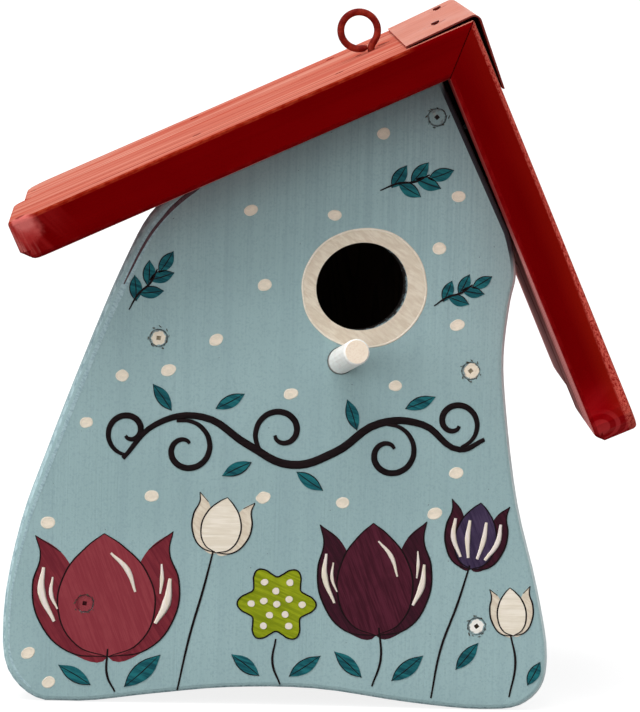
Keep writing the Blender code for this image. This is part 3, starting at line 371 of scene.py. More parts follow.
def roof_look(name, side, streaks, marks=()):
    """Red paint, deep on the front; on the outer face fading with a painted sheen, and grooved;
    thin below.
    """
    left = side == "left"
    pitch, tilt = (LEFT_PITCH, -1) if left else (RIGHT_PITCH, 1)
    outward = (tilt * math.sin(pitch), 0, math.cos(pitch))
    down = (tilt * math.cos(pitch), 0, -math.sin(pitch))
    turn = -pitch if left else pitch
    look = Look(name, 0.42, specular=0.0)
    fine = look.noise((0.20, 0.0045, 0.0010), turn, detail=4.0, roughness=0.65)
    broad = look.noise((0.20, 0.0070, 0.0070), turn, detail=3.0, centre=(0, 0.0013, 0))
    cloud = look.noise((0.09, 0.03, 0.03), turn, detail=3.0)
    grit = look.noise((0.0035, 0.0016, 0.0016), turn, detail=4.0, roughness=0.7)
    front = look.facing(FORWARD)
    out = look.facing(outward)
    run = look.reach(down, RIDGE)
    end = LEFT_RUN if left else RIGHT_RUN

    colour = look.mix(look.ramp(cloud, 0.35, 0.70), RED_DEEP, RED)
    colour = look.lay(colour, RED_DEEP, look.ramp(fine, 0.48, 0.34), 0.35)
    # brighter and streaked towards the eave, where the paint is thin on the end grain
    bands = look.noise((0.05, 0.004, 0.006), turn + 1.2, detail=3.0)
    near = look.ramp(run, end - 0.030, end - 0.004)
    colour = look.lay(colour, RED_BRIGHT, near, look.ramp(bands, 0.40, 0.62), 0.55)
    eave = look.ramp(look.facing(down), 0.25, 0.9)
    scraped = look.noise((0.020, 0.0025, 0.0016), turn + 1.45, detail=4.0, roughness=0.6)
    pale = rgb(204, 108, 102) if left else rgb(202, 92, 88)
    colour = look.lay(colour, look.mix(look.ramp(scraped, 0.36, 0.64), rgb(158, 36, 38), pale),
                      eave, look.plus(0.30, look.ramp(scraped, 0.40, 0.66), 0.5))
    if not left:
        # growth rings of the end grain show through as arcs
        away = look.add("VectorMath", {0: look.local(MM, 0.0, ARC_CENTRE)}, out="Value",
                        operation="LENGTH")
        away = look.maths("MAXIMUM", look.plus(away, look.maths("SUBTRACT", cloud, 0.5), 2.5), 3.4)
        arcs = look.maths("COSINE", look.times(look.maths("SUBTRACT", away, 7.0), 1.7))
        arcs = look.ramp(arcs, -0.2, 0.6)
        near = look.ramp(run, end - 0.014, end - 0.004)
        colour = look.lay(colour, rgb(160, 4, 14), look.ramp(run, end - 0.030, end - 0.006), 0.7)
        colour = look.lay(colour, rgb(208, 62, 64), arcs, near, 0.6)
        height = look.reach(outward, RIDGE)
        outer = look.ramp(height, -0.010, -0.001)
        colour = look.lay(colour, rgb(150, 28, 12), outer, look.ramp(front, 0.9, 0.98),
                          look.plus(0.25, look.ramp(run, 0.04, end), 0.35))
        # speckled wear beside the outer edge, broader towards the eave
        specks = look.noise((0.0011, 0.0006, 0.0006), turn, detail=3.0, roughness=0.8)
        wear = look.mix(look.ramp(specks, 0.38, 0.56), rgb(148, 12, 12), rgb(226, 104, 90))
        broad_wear = look.plus(height, look.ramp(run, 0.06, end), 0.0022)
        colour = look.lay(colour, wear, look.ramp(broad_wear, -0.0016, -0.0004), 0.7)

    # outer face: paint fading, with a painted sheen, pale streaks and fine dark grooves along the
    # board
    faded_and_sheen = look.mix(look.times(look.ramp(broad, 0.44, 0.64), streaks), RED_FADED_AND_SHEEN, RED_PALE_AND_SHEEN)
    faded_and_sheen = look.lay(faded_and_sheen, RED_GROOVE, look.ramp(fine, 0.46, 0.34), 0.75)
    faded_and_sheen = look.lay(faded_and_sheen, rgb(176, 60, 44), look.ramp(cloud, 0.54, 0.38), 0.4)
    faded_and_sheen = look.lay(faded_and_sheen, rgb(188, 70, 52), look.ramp(broad, 0.48, 0.38), 0.45)
    top = look.ramp(out, 0.80, 0.97)
    colour = look.mix(top, colour, faded_and_sheen)

    # long edges between two faces: rubbed above, pitted below
    slant = look.times(look.ramp(look.maths("ABSOLUTE", out), 0.10, 0.35),
                       look.ramp(look.maths("ABSOLUTE", out), 0.985, 0.90))
    if left:
        rubbed = look.mix(look.ramp(grit, 0.40, 0.66), rgb(134, 30, 12), rgb(172, 66, 40))
        rubbed = look.mix(look.ramp(run, 0.023, 0.029), RED_DEEP, rubbed)
    else:
        rubbed = wear
    lower = look.mix(look.ramp(grit, 0.40, 0.70), rgb(116, 4, 8), rgb(146, 24, 24))
    edge = look.mix(look.ramp(out, -0.05, 0.05), lower, rubbed)
    colour = look.lay(colour, edge, slant, look.ramp(front, 0.995, 0.95), 0.80)

    # inner face: bare wood under painted shade inside the box; outside it, thin paint made paler as
    # painted light, paler still on the rear planks, and darker near the ridge
    under = look.ramp(out, -0.86, -0.97)
    deep = look.reach(BACKWARD)
    closed = look.times(look.ramp(deep, FACE, FACE + 0.001), look.ramp(deep, REAR, REAR - 0.001),
                        look.ramp(run, *(LEFT_INSIDE if left else RIGHT_INSIDE)))
    bare = bare_colour(look, turn, 1.0)[0]
    thin = look.mix(look.ramp(broad, 0.40, 0.60), rgb(206, 116, 112), rgb(238, 160, 156))
    thin = look.lay(thin, rgb(244, 166, 164), look.ramp(deep, 0.010, 0.016), 0.8)
    thin = look.mix(look.ramp(run, 0.070, 0.094), rgb(150, 56, 54), thin)
    colour = look.mix(under, colour, look.mix(closed, thin, bare))

    for place, radii, angle, shade, strength in marks:
        spot = look.spot([value * MM for value in place], tuple(value * MM for value in radii),
                         angle, edge=0.45, grit=0.0022, ragged=0.5)
        colour = look.lay(colour, shade, spot, strength)

    relief = look.plus(0.25, top, 1.1)
    height = look.times(fine, relief)
    height = look.plus(height, look.times(look.maths("MAXIMUM", eave, slant), grit), 1.8)
    rough = look.plus(look.ramp(fine, -0.7, 1.6), top, 0.16)
    return look.done(colour, rough, look.bump(height, 0.00026))


def strip_look():
    """Roof paint on thin sheet, smoother than on the wood: paler on top, partly a painted sheen;
    chipped here and there; painted shade in the dents at its pins and on its front edge.
    """
    look = Look("strip_paint", 0.38, specular=0.10)
    cloud = look.noise((0.03, 0.05, 0.03), detail=3.0)
    brushed = look.noise((0.05, 0.0014, 0.05), -LEFT_PITCH, detail=3.0)
    # paler on top: fading and a painted sheen
    top = look.ramp(look.facing(UPWARD), 0.55, 0.9)
    colour = look.mix(look.ramp(cloud, 0.36, 0.66), rgb(176, 40, 30), rgb(198, 64, 50))
    faded_and_sheen = look.mix(look.ramp(brushed, 0.38, 0.62), rgb(187, 108, 88), rgb(197, 122, 102))
    colour = look.mix(top, colour, faded_and_sheen)
    chips = look.ramp(look.noise(0.0035, detail=4.0, roughness=0.7), 0.67, 0.71)
    colour = look.lay(colour, rgb(120, 44, 34), chips, 0.8)
    # painted shade in the dent beside each pin
    for place in STRIP_DENTS:
        dent = look.spot([value * MM for value in place], (3.3 * MM, 2.6 * MM, 2.4 * MM),
                         edge=0.4, grit=0.002, ragged=0.3)
        colour = look.lay(colour, rgb(122, 36, 28), dent, 0.75)
    # painted shade on the front edge, over the dark gap under the strip
    cut = look.ramp(look.facing(FORWARD), 0.6, 0.9)
    colour = look.lay(colour, rgb(84, 34, 30), cut, 0.85)
    height = look.plus(look.times(brushed, 0.6), chips)
    return look.done(colour, look.ramp(cloud, -0.6, 1.5), look.bump(height, 0.00008))


def red_metal_look(name, light, dark, worn):
    """Roof paint on round steel, brown where it has rubbed off."""
    look = Look(name, 0.42, specular=0.05)
    cloud = look.noise(0.004, detail=4.0, roughness=0.65)
    chips = look.ramp(look.noise(0.0022, detail=4.0, roughness=0.7), 0.60, 0.66)
    colour = look.mix(look.ramp(cloud, 0.36, 0.62), light, dark)
    colour = look.lay(colour, RUST, chips, worn)
    return look.done(colour, look.ramp(cloud, -0.5, 1.6), look.bump(cloud, 0.00015))


def pin_look():
    """Panel pins: heads painted with the roof, plain dark steel below."""
    look = Look("roof_pin_paint", 0.45)
    grit = look.noise(0.0009, detail=3.0)
    heights = [look.reach((tilt * math.sin(pitch), 0, math.cos(pitch)), RIDGE)
               for pitch, tilt in ((LEFT_PITCH, -1), (RIGHT_PITCH, 1))]
    head = look.ramp(look.maths("MAXIMUM", *heights), -0.0026, -0.0022)
    paint = look.mix(look.ramp(grit, 0.35, 0.65), rgb(206, 110, 92), rgb(168, 62, 50))
    steel = look.mix(look.ramp(grit, 0.40, 0.60), rgb(70, 64, 62), DARK)
    return look.done(look.mix(head, steel, paint), look.ramp(grit, -0.4, 1.6),
                     look.bump(grit, 0.00006))


def zinc_look():
    """Zinc on steel, with brown stains."""
    look = Look("zinc", 0.36, metallic=1.0, specular=0.5)
    cloud = look.noise(0.003, detail=4.0, roughness=0.6)
    scratches = look.noise((0.004, 0.0003, 0.0003), 0.6, detail=3.0)
    colour = look.mix(look.ramp(cloud, 0.35, 0.65), rgb(168, 168, 164), ZINC)
    stain = look.ramp(look.noise(0.006, detail=3.0), 0.62, 0.72)
    colour = look.lay(colour, rgb(120, 96, 74), stain, 0.7)
    return look.done(colour, look.ramp(cloud, -0.2, 1.6), look.bump(scratches, 0.00003))


def screw_look(name, place, paint, daub, filled, shift):
    """A countersunk head under the panel's paint, a ragged daub of another colour over it."""
    look = Look(name, 0.5)
    centre = (place[0] * MM, FACE, place[1] * MM)
    cloud = look.noise(0.0018, detail=4.0)
    grit = look.noise(0.0014, detail=4.0, roughness=0.7)
    colour = look.lay(BLUE, rgb(118, 112, 110), look.ramp(cloud, 0.44, 0.62), 0.55)
    middle = (centre[0] + shift[0] * MM, FACE, centre[2] + shift[1] * MM)
    patch = look.spot(middle, (daub * MM, 0.05, daub * MM), edge=0.12, ragged=0.7, grit=0.0016)
    dabbed = look.lay(paint, rgb(214, 198, 174), look.ramp(cloud, 0.52, 0.66), 0.35)
    colour = look.mix(patch, colour, dabbed if paint != BERRY else paint)
    depth = look.reach(BACKWARD, centre)
    colour = look.mix(look.ramp(depth, 0.0004, 0.0008), colour, filled)
    rim = look.inverse(look.spot(centre, (SCREW_RIM, 0.05, SCREW_RIM), edge=0.14, ragged=0.35,
                                 grit=0.0012))
    colour = look.lay(colour, rgb(46, 50, 54), rim, look.ramp(grit, 0.62, 0.46), 0.85)
    return look.done(colour, look.ramp(cloud, -0.2, 1.4), look.bump(grit, 0.0003))


def perch_look():
    """Cream paint on a dowel: brushed along it, end grain at the tip, rubbed pink, painted shadow
    round its foot.
    """
    look = Look("perch_paint", 0.5)
    brushed = look.noise((0.0012, 0.03, 0.0012), detail=4.0)
    grit = look.noise((0.0007, 0.002, 0.0007), detail=4.0, roughness=0.7)
    colour = look.mix(look.ramp(brushed, 0.34, 0.60), rgb(250, 248, 242), rgb(255, 254, 250))
    out = look.reach(FORWARD, (0, FACE, 0))
    tip = look.ramp(look.facing(PERCH_AXIS), 0.93, 0.985)
    colour = look.lay(colour, rgb(248, 232, 212), tip)
    colour = look.lay(colour, rgb(232, 206, 182), tip, look.ramp(grit, 0.52, 0.38), 0.4)
    stain = look.ramp(look.noise((0.003, 0.006, 0.003), detail=3.0), 0.58, 0.66)
    side = look.ramp(look.facing((1, 0, 0.2)), 0.2, 0.8)
    colour = look.lay(colour, rgb(196, 120, 116), stain, look.plus(0.12, side, 0.6))
    # painted shadow where the perch meets the panel
    foot = look.ramp(out, 0.0016, 0.0004)
    colour = look.lay(colour, rgb(120, 104, 96), foot, 0.7)
    return look.done(colour, look.ramp(brushed, -0.5, 1.5), look.bump(grit, 0.00012))


def film_look(name, light, dark, turn=0.0, specular=0.12, sweep=0.014):
    """Artist's acrylic laid on with a brush, a little uneven in colour and height."""
    look = Look(name, 0.48, specular=specular)
    brushed = look.noise((sweep, 0.0010, 0.0010), turn, detail=4.0, roughness=0.6)
    cloud = look.noise(0.006, detail=3.0)
    colour = look.mix(look.ramp(brushed, 0.36, 0.64), light, dark)
    colour = look.lay(colour, dark, look.ramp(cloud, 0.46, 0.66), 0.5)
    return look.done(colour, look.ramp(brushed, -0.5, 1.4), look.bump(brushed, 0.00018))


def rim_highlight_look():
    """A painted highlight along the left routed edge: a paler coat in place of the light on it."""
    look = Look("rim_highlight_film", 0.6)
    weave = look.noise((0.0016, 0.002, 0.0007), 0.45, detail=4.0, roughness=0.7)
    return look.done(look.mix(look.ramp(weave, 0.36, 0.62), rgb(150, 178, 186), RIM),
                     look.ramp(weave, -1.0, 1.4), look.bump(weave, 0.00012))


def curve_mesh(data):
    """The mesh that a curve makes."""
    curve = bpy.data.objects.new("line", data)
    bpy.context.scene.collection.objects.link(curve)
    bpy.context.view_layer.update()
    graph = bpy.context.evaluated_depsgraph_get()
    mesh = bpy.data.meshes.new_from_object(curve.evaluated_get(graph))
    bpy.data.objects.remove(curve)
    return mesh


def add_piece(name, mesh, look):
    """A smooth piece that rides on the box."""
    piece = bpy.data.objects.new(name, mesh)
    bpy.context.scene.collection.objects.link(piece)
    mesh.materials.append(look)
    mesh.shade_smooth()
    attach(piece, "box")
    return piece


# ---- painted pieces on the front panel ----

class Painting:
    """A layer of one colour on the front panel, made of flat shapes and of brush strokes."""

    thick = 0.05 * MM
    squeeze = 0.14                  # height of a stroke for its width
    lowest = 0.02                   # millimetres from the panel to the first layer
    rise = 0.06                     # and from one layer to the next
    bevel = 0.5 * MM                # half of a stroke of width 1

    def __init__(self, name, look, layer=0):
        self.name, self.look = name, look
        self.lift = (self.lowest + self.rise * layer) * MM
        self.shapes, self.strokes = [], []

    def shape(self, points, sharp=(), holes=()):
        """A closed smooth outline through these points, with corners at the numbered ones."""
        self.shapes.append([(points, sharp)] + [(hole, ()) for hole in holes])

    def stroke(self, points, width, taper=0.25, closed=False):
        """A brush stroke of this width through the points, thinner at both ends."""
        self.strokes.append((points, width, taper, closed))

    def curve(self, dimensions):
        data = bpy.data.curves.new(self.name, "CURVE")
        data.dimensions = dimensions
        data.resolution_u = 6
        data.bevel_resolution = 1
        return data

    def spline(self, data, points, closed):
        spline = data.splines.new("BEZIER")
        spline.bezier_points.add(len(points) - 1)
        spline.use_cyclic_u = closed
        for knot, (x, z) in zip(spline.bezier_points, points):
            knot.co = (x * MM, z * MM, 0)
            knot.handle_left_type = knot.handle_right_type = "AUTO"
        return spline

    def filled(self, loops):
        data = self.curve("2D")
        data.fill_mode = "BOTH"
        data.extrude = data.bevel_depth = self.thick / 2
        for points, sharp in loops:
            spline = self.spline(data, points, True)
            for index in sharp:
                knot = spline.bezier_points[index]
                knot.handle_left_type = knot.handle_right_type = "VECTOR"
        return data

    def brushed(self):
        data = self.curve("3D")
        data.bevel_depth = self.bevel
        data.use_fill_caps = True
        for points, width, taper, closed in self.strokes:
            spline = self.spline(data, points, closed)
            last = len(points) - 1
            for index, knot in enumerate(spline.bezier_points):
                share = 1.0 if closed else math.sin(math.pi * (0.12 + 0.76 * index / last))
                knot.radius = width * (taper + (1 - taper) * share)
        return data

    def make(self):
        """Joins the shapes and strokes into one piece on the panel."""
        parts = [(self.filled(loops), 1.0) for loops in self.shapes]
        if self.strokes:
            parts.append((self.brushed(), self.squeeze))
        bm = bmesh.new()
        for data, squeeze in parts:
            mesh = curve_mesh(data)
            mesh.transform(Matrix.Translation((0, FACE - self.lift, 0)) @ Matrix.Rotation(
                math.pi / 2, 4, "X") @ Matrix.Diagonal((1, 1, squeeze, 1)))
            bm.from_mesh(mesh)
        mesh = bpy.data.meshes.new(self.name)
        bm.to_mesh(mesh)
        bm.free()
        piece = add_piece(self.name, mesh, self.look)


def round_points(centre, radii, count, turn=0.0, uneven=0.0, seed=1):
    """Points round an ellipse, a little uneven."""
    draw = random.Random(seed)
    points = []
    for index in range(count):
        angle = 2 * math.pi * index / count
        swell = 1 + uneven * (draw.random() * 2 - 1)
        points.append((radii[0] * math.cos(angle) * swell, radii[1] * math.sin(angle) * swell))
    return placed(points, centre, (1, 1), turn)


def placed(points, centre, size, turn=0.0):
    """Unit points scaled, turned and moved to a place on the panel."""
    spread = []
    for x, z in points:
        x, z = x * size[0], z * size[1]
        spread.append((centre[0] + x * math.cos(turn) - z * math.sin(turn),
                       centre[1] + x * math.sin(turn) + z * math.cos(turn)))
    return spread


def curl(centre, start, end, angle, turns):
    """Points of a spiral from one radius to another."""
    points = []
    for index in range(CURL_STEPS + 1):
        share = index / CURL_STEPS
        radius = start + (end - start) * share
        bearing = angle + 2 * math.pi * turns * share
        points.append((centre[0] + radius * math.cos(bearing),
                       centre[1] + radius * math.sin(bearing)))
    return points


# Unit outlines, width and height 1 about the middle, corners at the numbered points
PETAL = ((0.0, -0.50), (-0.21, -0.40), (-0.33, -0.12), (-0.28, 0.18), (-0.12, 0.40), (0.0, 0.50),
         (0.12, 0.40), (0.28, 0.18), (0.33, -0.12), (0.21, -0.40))
PETAL_TIP = 5
SIDE_PETAL = ((0.0, -0.50), (-0.27, -0.45), (-0.46, -0.20), (-0.50, 0.10), (-0.44, 0.34),
              (-0.47, 0.50), (-0.30, 0.36), (-0.21, 0.16), (-0.18, -0.16))
SIDE_TIP = 5
LEAF = ((-0.50, 0.0), (-0.22, 0.36), (0.12, 0.40), (0.50, 0.0), (0.10, -0.46), (-0.24, -0.36))
LEAF_TIPS = (0, 3)
LEAF_VEIN = ((-0.50, 0.0), (0.0, -0.03), (0.42, 0.02))
SHINES = (                                # pale marks on a tulip: points, width
    (((-0.42, 0.24), (-0.44, 0.04), (-0.36, -0.20)), 0.055),
    (((-0.36, 0.16), (-0.375, 0.02), (-0.335, -0.10)), 0.03),
    (((0.33, -0.24), (0.41, -0.08), (0.44, 0.12)), 0.06),
    (((0.37, 0.00), (0.385, 0.12), (0.385, 0.24)), 0.03),
    (((0.04, 0.34), (0.15, 0.20), (0.20, 0.02)), 0.04))

# Cream dots, strewn over the panel
DOTS = (
    (-27.2, 183.6), (20.7, 212.9), (48.8, 190.5), (3.6, 182.5), (42.3, 171.3), (-21.4, 156.2),
    (-38.8, 135.6), (-72.9, 121.6), (-85.7, 104.0), (-10.8, 116.3), (49.8, 143.1), (27.6, 120.1),
    (50.9, 88.3), (-61.1, 77.2), (-99.0, 66.5), (-20.0, 77.6), (-105.3, 17.8), (-97.5, 7.0),
    (9.4, 76.3), (43.5, 73.0), (-56.0, 124.0))

# Screws of the front panel, and the torn fibres round each
SCREW_PLACES = ((40.1, 219.4), (-59.85, 135.8), (55.2, 126.2), (-84.8, 36.7), (60.2, 31.2))
SCREW_RIM = 0.0031                        # in metres, where the paint over a head is torn
SCREW_EDGE = 3.3                          # where the fibres begin
TEARS = 11

# The left rim's pale coat, a painted highlight: the edge of the panel's flat face, and how far the
# coat reaches in
RIM_OUTSIDE = (
    (-53.8, 187.1), (-58.2, 183.7), (-62.3, 179.2), (-66.8, 171.5), (-71.2, 161.8), (-78.7, 143.7),
    (-89.4, 115.5), (-100.8, 84.0), (-105.4, 70.8), (-109.2, 56.2), (-112.1, 40.2), (-112.9, 27.0),
    (-112.2, 16.4), (-109.1, 9.3), (-104.2, 4.5))
RIM_INSIDE = (
    (-52.0, 186.6), (-55.6, 182.6), (-60.0, 177.2), (-64.8, 169.4), (-69.0, 160.4), (-77.0, 143.0),
    (-88.0, 115.0), (-99.6, 83.6), (-104.4, 70.5), (-108.3, 56.0), (-111.4, 40.1), (-112.1, 27.1),
    (-111.4, 16.8), (-108.4, 10.0), (-104.0, 5.2))

# A painted shadow line beside that coat, reaching up to the roof: points, width and taper of each
# stroke
SHADOW_LINES = (
    (((-42.6, 196.0), (-46.4, 191.4), (-51.2, 187.6), (-57.0, 182.3), (-62.4, 175.8),
      (-66.3, 169.4), (-69.4, 163.2), (-73.0, 155.4)), 1.1, 0.10),
    (((-43.0, 197.0), (-47.2, 191.6), (-52.2, 187.2), (-56.4, 183.3), (-60.4, 178.6)), 1.6, 0.15))

# Flowers: stems, leaves as place, size and turn, and the tulips' places, sizes and leans
STEMS = (
    ((-73, 4), (-76, 10), (-76, 20)), ((-50, 5), (-46, 25), (-41, 44), (-38, 57)),
    ((-12, 8), (-15, 16), (-14, 25)), ((22, 8), (25, 18), (24, 30)),
    ((44, 4), (47, 22), (53, 40), (57, 54)), ((73, 5), (75, 18), (73, 28)))
LEAVES = (
    ((-63, 12), (18, 7), 0.75), ((-3, 15), (14, 5.5), 0.6), ((35, 15), (15, 6), 0.7),
    ((13, 16), (14, 5.5), 2.4), ((57, 20), (13, 5), 0.9), ((-25, 15), (13, 5.5), 2.5),
    ((82, 14), (10, 4.5), 1.1), ((-88, 10), (14, 5.5), 2.6))
BERRY_TULIP = ((-77, 40), (54, 46), 0.05)
BERRY_HOLE = ((-84.83, 36.7), (3.4, 3.4), 12)     # round its screw: middle, radii, points
CREAM_TULIP = ((-35, 67), (22, 21), -0.18)
PLUM_TULIP = ((22, 48), (42, 42), 0.05)
STRIPED_TULIP = ((59, 65), (23, 25), -0.12)
SMALL_TULIP = ((73, 37), (16, 18), 0.1)
STRIPES = (-0.36, -0.13, 0.13, 0.36)
ROUND_FLOWER = (-14, 38)

# Scroll across the middle: its line, its curls and the place and turn of each leaf
SCROLL = ((-72, 91), (-60, 104), (-43, 107), (-26, 97), (-10, 90), (6, 95), (22, 106),
          (38, 106), (52, 97), (61, 101))
CURLS = (                                 # middle, first and last radius, first angle, turns
    ((-49, 95), 11.0, 2.6, 1.9, -1.15), ((-14, 102), 11.0, 2.6, -1.7, -1.15),
    ((26, 95), 11.0, 2.6, 1.7, -1.15), ((-70, 101), 9.0, 2.0, -1.6, -1.1),
    ((50, 107), 9.5, 2.0, -1.3, 1.1))
CURL_STEPS = 14
SCROLL_LEAVES = (((-33, 113), 0.5), ((-3, 84), -0.6), ((12, 109), 1.9), ((37, 114), 0.4),
                 ((-58, 114), 2.2), ((-30, 88), 3.6))

# Sprigs: foot, turn and scale of each, the stalk, and its leaves as place, side and angle
SPRIGS = (((20, 192), 0.25, 1.35), ((-71, 146), 0.9, 1.3), ((41, 150), 0.45, 1.15))
STALK = ((0, 0), (5, 0.8), (10, 0.2), (14, 1.2))
SPRIG_LEAVES = ((4, 1, 0.75), (6, -1, -0.8), (9.5, 1, 0.65), (11, -1, -0.6), (14.5, 0, 0.1))
SPRIG_LEAF = (7.4, 3.8)


def mirrored(points):
    """The same outline with left and right exchanged."""
    return [(-x, z) for x, z in points]


def entrance_ring(cream, border):
    """The broad cream ring painted round the entrance, its borders gone over once more."""
    middle = (ENTRANCE[0] + RING_SHIFT[0], ENTRANCE[1] + RING_SHIFT[1])
    outer = round_points(middle, RING_RADII, 20, ENTRANCE_TURN, RING_UNEVEN, RING_SEED)
    inner = round_points(ENTRANCE, ENTRANCE_RADII, 40, ENTRANCE_TURN)
    cream.shape(outer, holes=[inner])
    edge = round_points(middle, RING_BORDER, 20, ENTRANCE_TURN, RING_UNEVEN, RING_SEED)
    border.stroke(edge, 0.7, closed=True)


def tulip(centre, size, lean, front, back, ink, shine=None, hole=None):
    """A tulip: two petals behind, one in front, ink lines and pale brush marks."""
    for side in (SIDE_PETAL, mirrored(SIDE_PETAL)):
        points = placed(side, centre, size, lean)
        back.shape(points, (SIDE_TIP,))
        ink.stroke(points[:SIDE_TIP + 1], 0.6)
        ink.stroke(points[SIDE_TIP:SIDE_TIP + 2], 0.5)
    petal = placed(PETAL, centre, size, lean)
    front.shape(petal, (PETAL_TIP,), holes=[hole] if hole else [])
    ink.stroke(petal[PETAL_TIP:] + petal[:1], 0.55)
    ink.stroke(petal[:PETAL_TIP + 1], 0.55)
    if shine:
        for points, width in SHINES:
            shine.stroke(placed(points, centre, size, lean), size[0] * width, 0.02)


def leaf(centre, size, turn, green, ink):
    """A leaf with its midrib, outlined on one side."""
    green.shape(placed(LEAF, centre, size, turn), LEAF_TIPS)
    ink.stroke(placed(LEAF_VEIN, centre, size, turn), 0.4)
    ink.stroke(placed(LEAF[3::-1], centre, size, turn), 0.4)


def sprig(foot, turn, scale, green, ink):
    """A small sprig of five leaves."""
    ink.stroke(placed(STALK, foot, (scale, scale), turn), 0.8)
    for along, side, angle in SPRIG_LEAVES:
        middle = (along + 2.6 * math.cos(angle), 0.5 + 2.9 * side * abs(math.sin(angle)))
        place = placed((middle,), foot, (scale, scale), turn)[0]
        leaf(place, (SPRIG_LEAF[0] * scale, SPRIG_LEAF[1] * scale), turn + angle, green, ink)


def screw_tears(torn):
    """Torn fibres in a ring beside each screw head."""
    draw = random.Random(31)
    for x, z in SCREW_PLACES:
        for number in range(TEARS):
            angle = math.tau * (number + 0.8 * draw.random()) / TEARS
            reach = SCREW_EDGE + 0.9 * draw.random() ** 2
            bend = angle + draw.uniform(0.12, 0.34)
            length = draw.uniform(-0.3, 0.8)
            fibre = [(x + far * math.cos(turn), z + far * math.sin(turn)) for far, turn in (
                (reach, angle), (reach + 0.3 * length, 0.5 * (angle + bend)),
                (reach + length, bend))]
            torn.stroke(fibre, draw.uniform(0.3, 0.6), 0.2)


def dotted_flower(centre, lime, ink, shine):
    """A round flower of six petals with rings of dots."""
    outline = []
    for index in range(36):
        angle = 2 * math.pi * index / 36
        reach = 12.4 + 2.2 * math.cos(6 * angle)
        outline.append((centre[0] + reach * math.cos(angle), centre[1] + reach * math.sin(angle)))
    lime.shape(outline)
    ink.stroke(outline, 0.55, closed=True)
    for ring, count, start in ((9.4, 6, 0.0), (4.9, 5, 0.4), (0.0, 1, 0.0)):
        for index in range(count):
            angle = start + 2 * math.pi * index / count
            place = (centre[0] + ring * math.cos(angle), centre[1] + ring * math.sin(angle))
            shine.shape(round_points(place, (1.3, 1.2), 8, 0, 0.08, index))


def paint_panel():
    """The painted decoration of the front panel, one piece for each colour."""
    cream = Painting("paint_cream", film_look("cream_film", CREAM, CREAM_DARK, 0.6, sweep=0.004))
    border = Painting("paint_border", film_look("border_film", rgb(254, 244, 228), CREAM), 1)
    dots = Painting("paint_dots", film_look("dot_film", rgb(254, 240, 220), CREAM, sweep=0.002))
    rim = Painting("paint_rim_highlight", rim_highlight_look())
    # a painted shadow line along the left rim, in the undercoat's colour
    worn = Painting("paint_shadow_line", film_look("shadow_line_film", UNDERCOAT_AND_SHADE, rgb(96, 72, 78), 1.1), 1)
    torn = Painting("paint_tears", film_look("torn_film", rgb(52, 58, 54), rgb(84, 76, 64)), 3)
    shine = Painting("paint_highlights", film_look("pale_film", rgb(244, 232, 226), CREAM, 1.3), 4)
    ink = Painting("paint_lines", film_look("ink_film", INK, rgb(30, 20, 22), specular=0.05), 3)
    berry = Painting("paint_berry", film_look("berry_film", BERRY, rgb(138, 50, 60), 1.2), 1)
    wine = Painting("paint_wine", film_look("wine_film", rgb(128, 44, 54), rgb(108, 32, 44), 1.0))
    plum = Painting("paint_plum", film_look("plum_film", rgb(82, 26, 44), rgb(58, 12, 28), 1.2), 1)
    dusk = Painting("paint_dusk", film_look("dusk_film", rgb(60, 14, 32), rgb(42, 8, 22), 1.0))
    lime = Painting("paint_lime", film_look("lime_film", rgb(160, 172, 26), rgb(128, 142, 14), 0.4))
    slate = Painting(
        "paint_slate", film_look("slate_film", rgb(70, 56, 84), rgb(48, 36, 62), 1.2), 1)
    teal = Painting(
        "paint_teal", film_look("teal_film", rgb(30, 112, 118), rgb(12, 70, 80), 0.3), 2)

    entrance_ring(cream, border)
    draw = random.Random(7)
    for index, place in enumerate(DOTS):
        wide, high = 2.4 + 0.45 * draw.random(), 1.9 + 0.35 * draw.random()
        dots.shape(round_points(place, (wide, high), 9, 0.5 * draw.random(), 0.06, index))
        border.stroke(round_points(place, (wide * 0.86, high * 0.84), 9, 0.3, 0.08, index), 0.4,
                      closed=True)
    rim.shape(RIM_OUTSIDE + RIM_INSIDE[::-1], (0, len(RIM_OUTSIDE) - 1, len(RIM_OUTSIDE), -1))
    for line in SHADOW_LINES:
        worn.stroke(*line)
    screw_tears(torn)

    # stems grow from the bottom edge
    for stem in STEMS:
        ink.stroke(stem, 0.9, 0.5)
    tulip(*BERRY_TULIP, berry, wine, ink, shine, round_points(*BERRY_HOLE))
    tulip(*CREAM_TULIP, border, cream, ink)
    tulip(*PLUM_TULIP, plum, dusk, ink, shine)
    tulip(*STRIPED_TULIP, slate, dusk, ink)
    for share in STRIPES:
        stripe = ((share * 0.55, -0.34), (share, -0.05), (share * 1.02, 0.22))
        shine.stroke(placed(stripe, *STRIPED_TULIP), 2.0)
    tulip(*SMALL_TULIP, border, cream, ink)
    dotted_flower(ROUND_FLOWER, lime, ink, shine)
    for place, size, turn in LEAVES:
        leaf(place, size, turn, teal, ink)

    ink.stroke(SCROLL, 3.1, 0.22)
    for spiral in CURLS:
        ink.stroke(curl(*spiral), 2.3, 0.25)
    for place, turn in SCROLL_LEAVES:
        leaf(place, (12, 5), turn, teal, ink)
    for place in SPRIGS:
        sprig(*place, teal, ink)

    for layer in (cream, border, dots, rim, worn, berry, wine, plum, dusk, lime, slate, teal, ink,
                  shine, torn):
        layer.make()


def named(start):
    """The CAD nodes whose names start so."""
    return [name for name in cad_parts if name.startswith(start)]


def dress(names, look):
    """Gives these CAD nodes a material."""
    for name in names:
        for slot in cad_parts[name].material_slots:
            slot.material = look


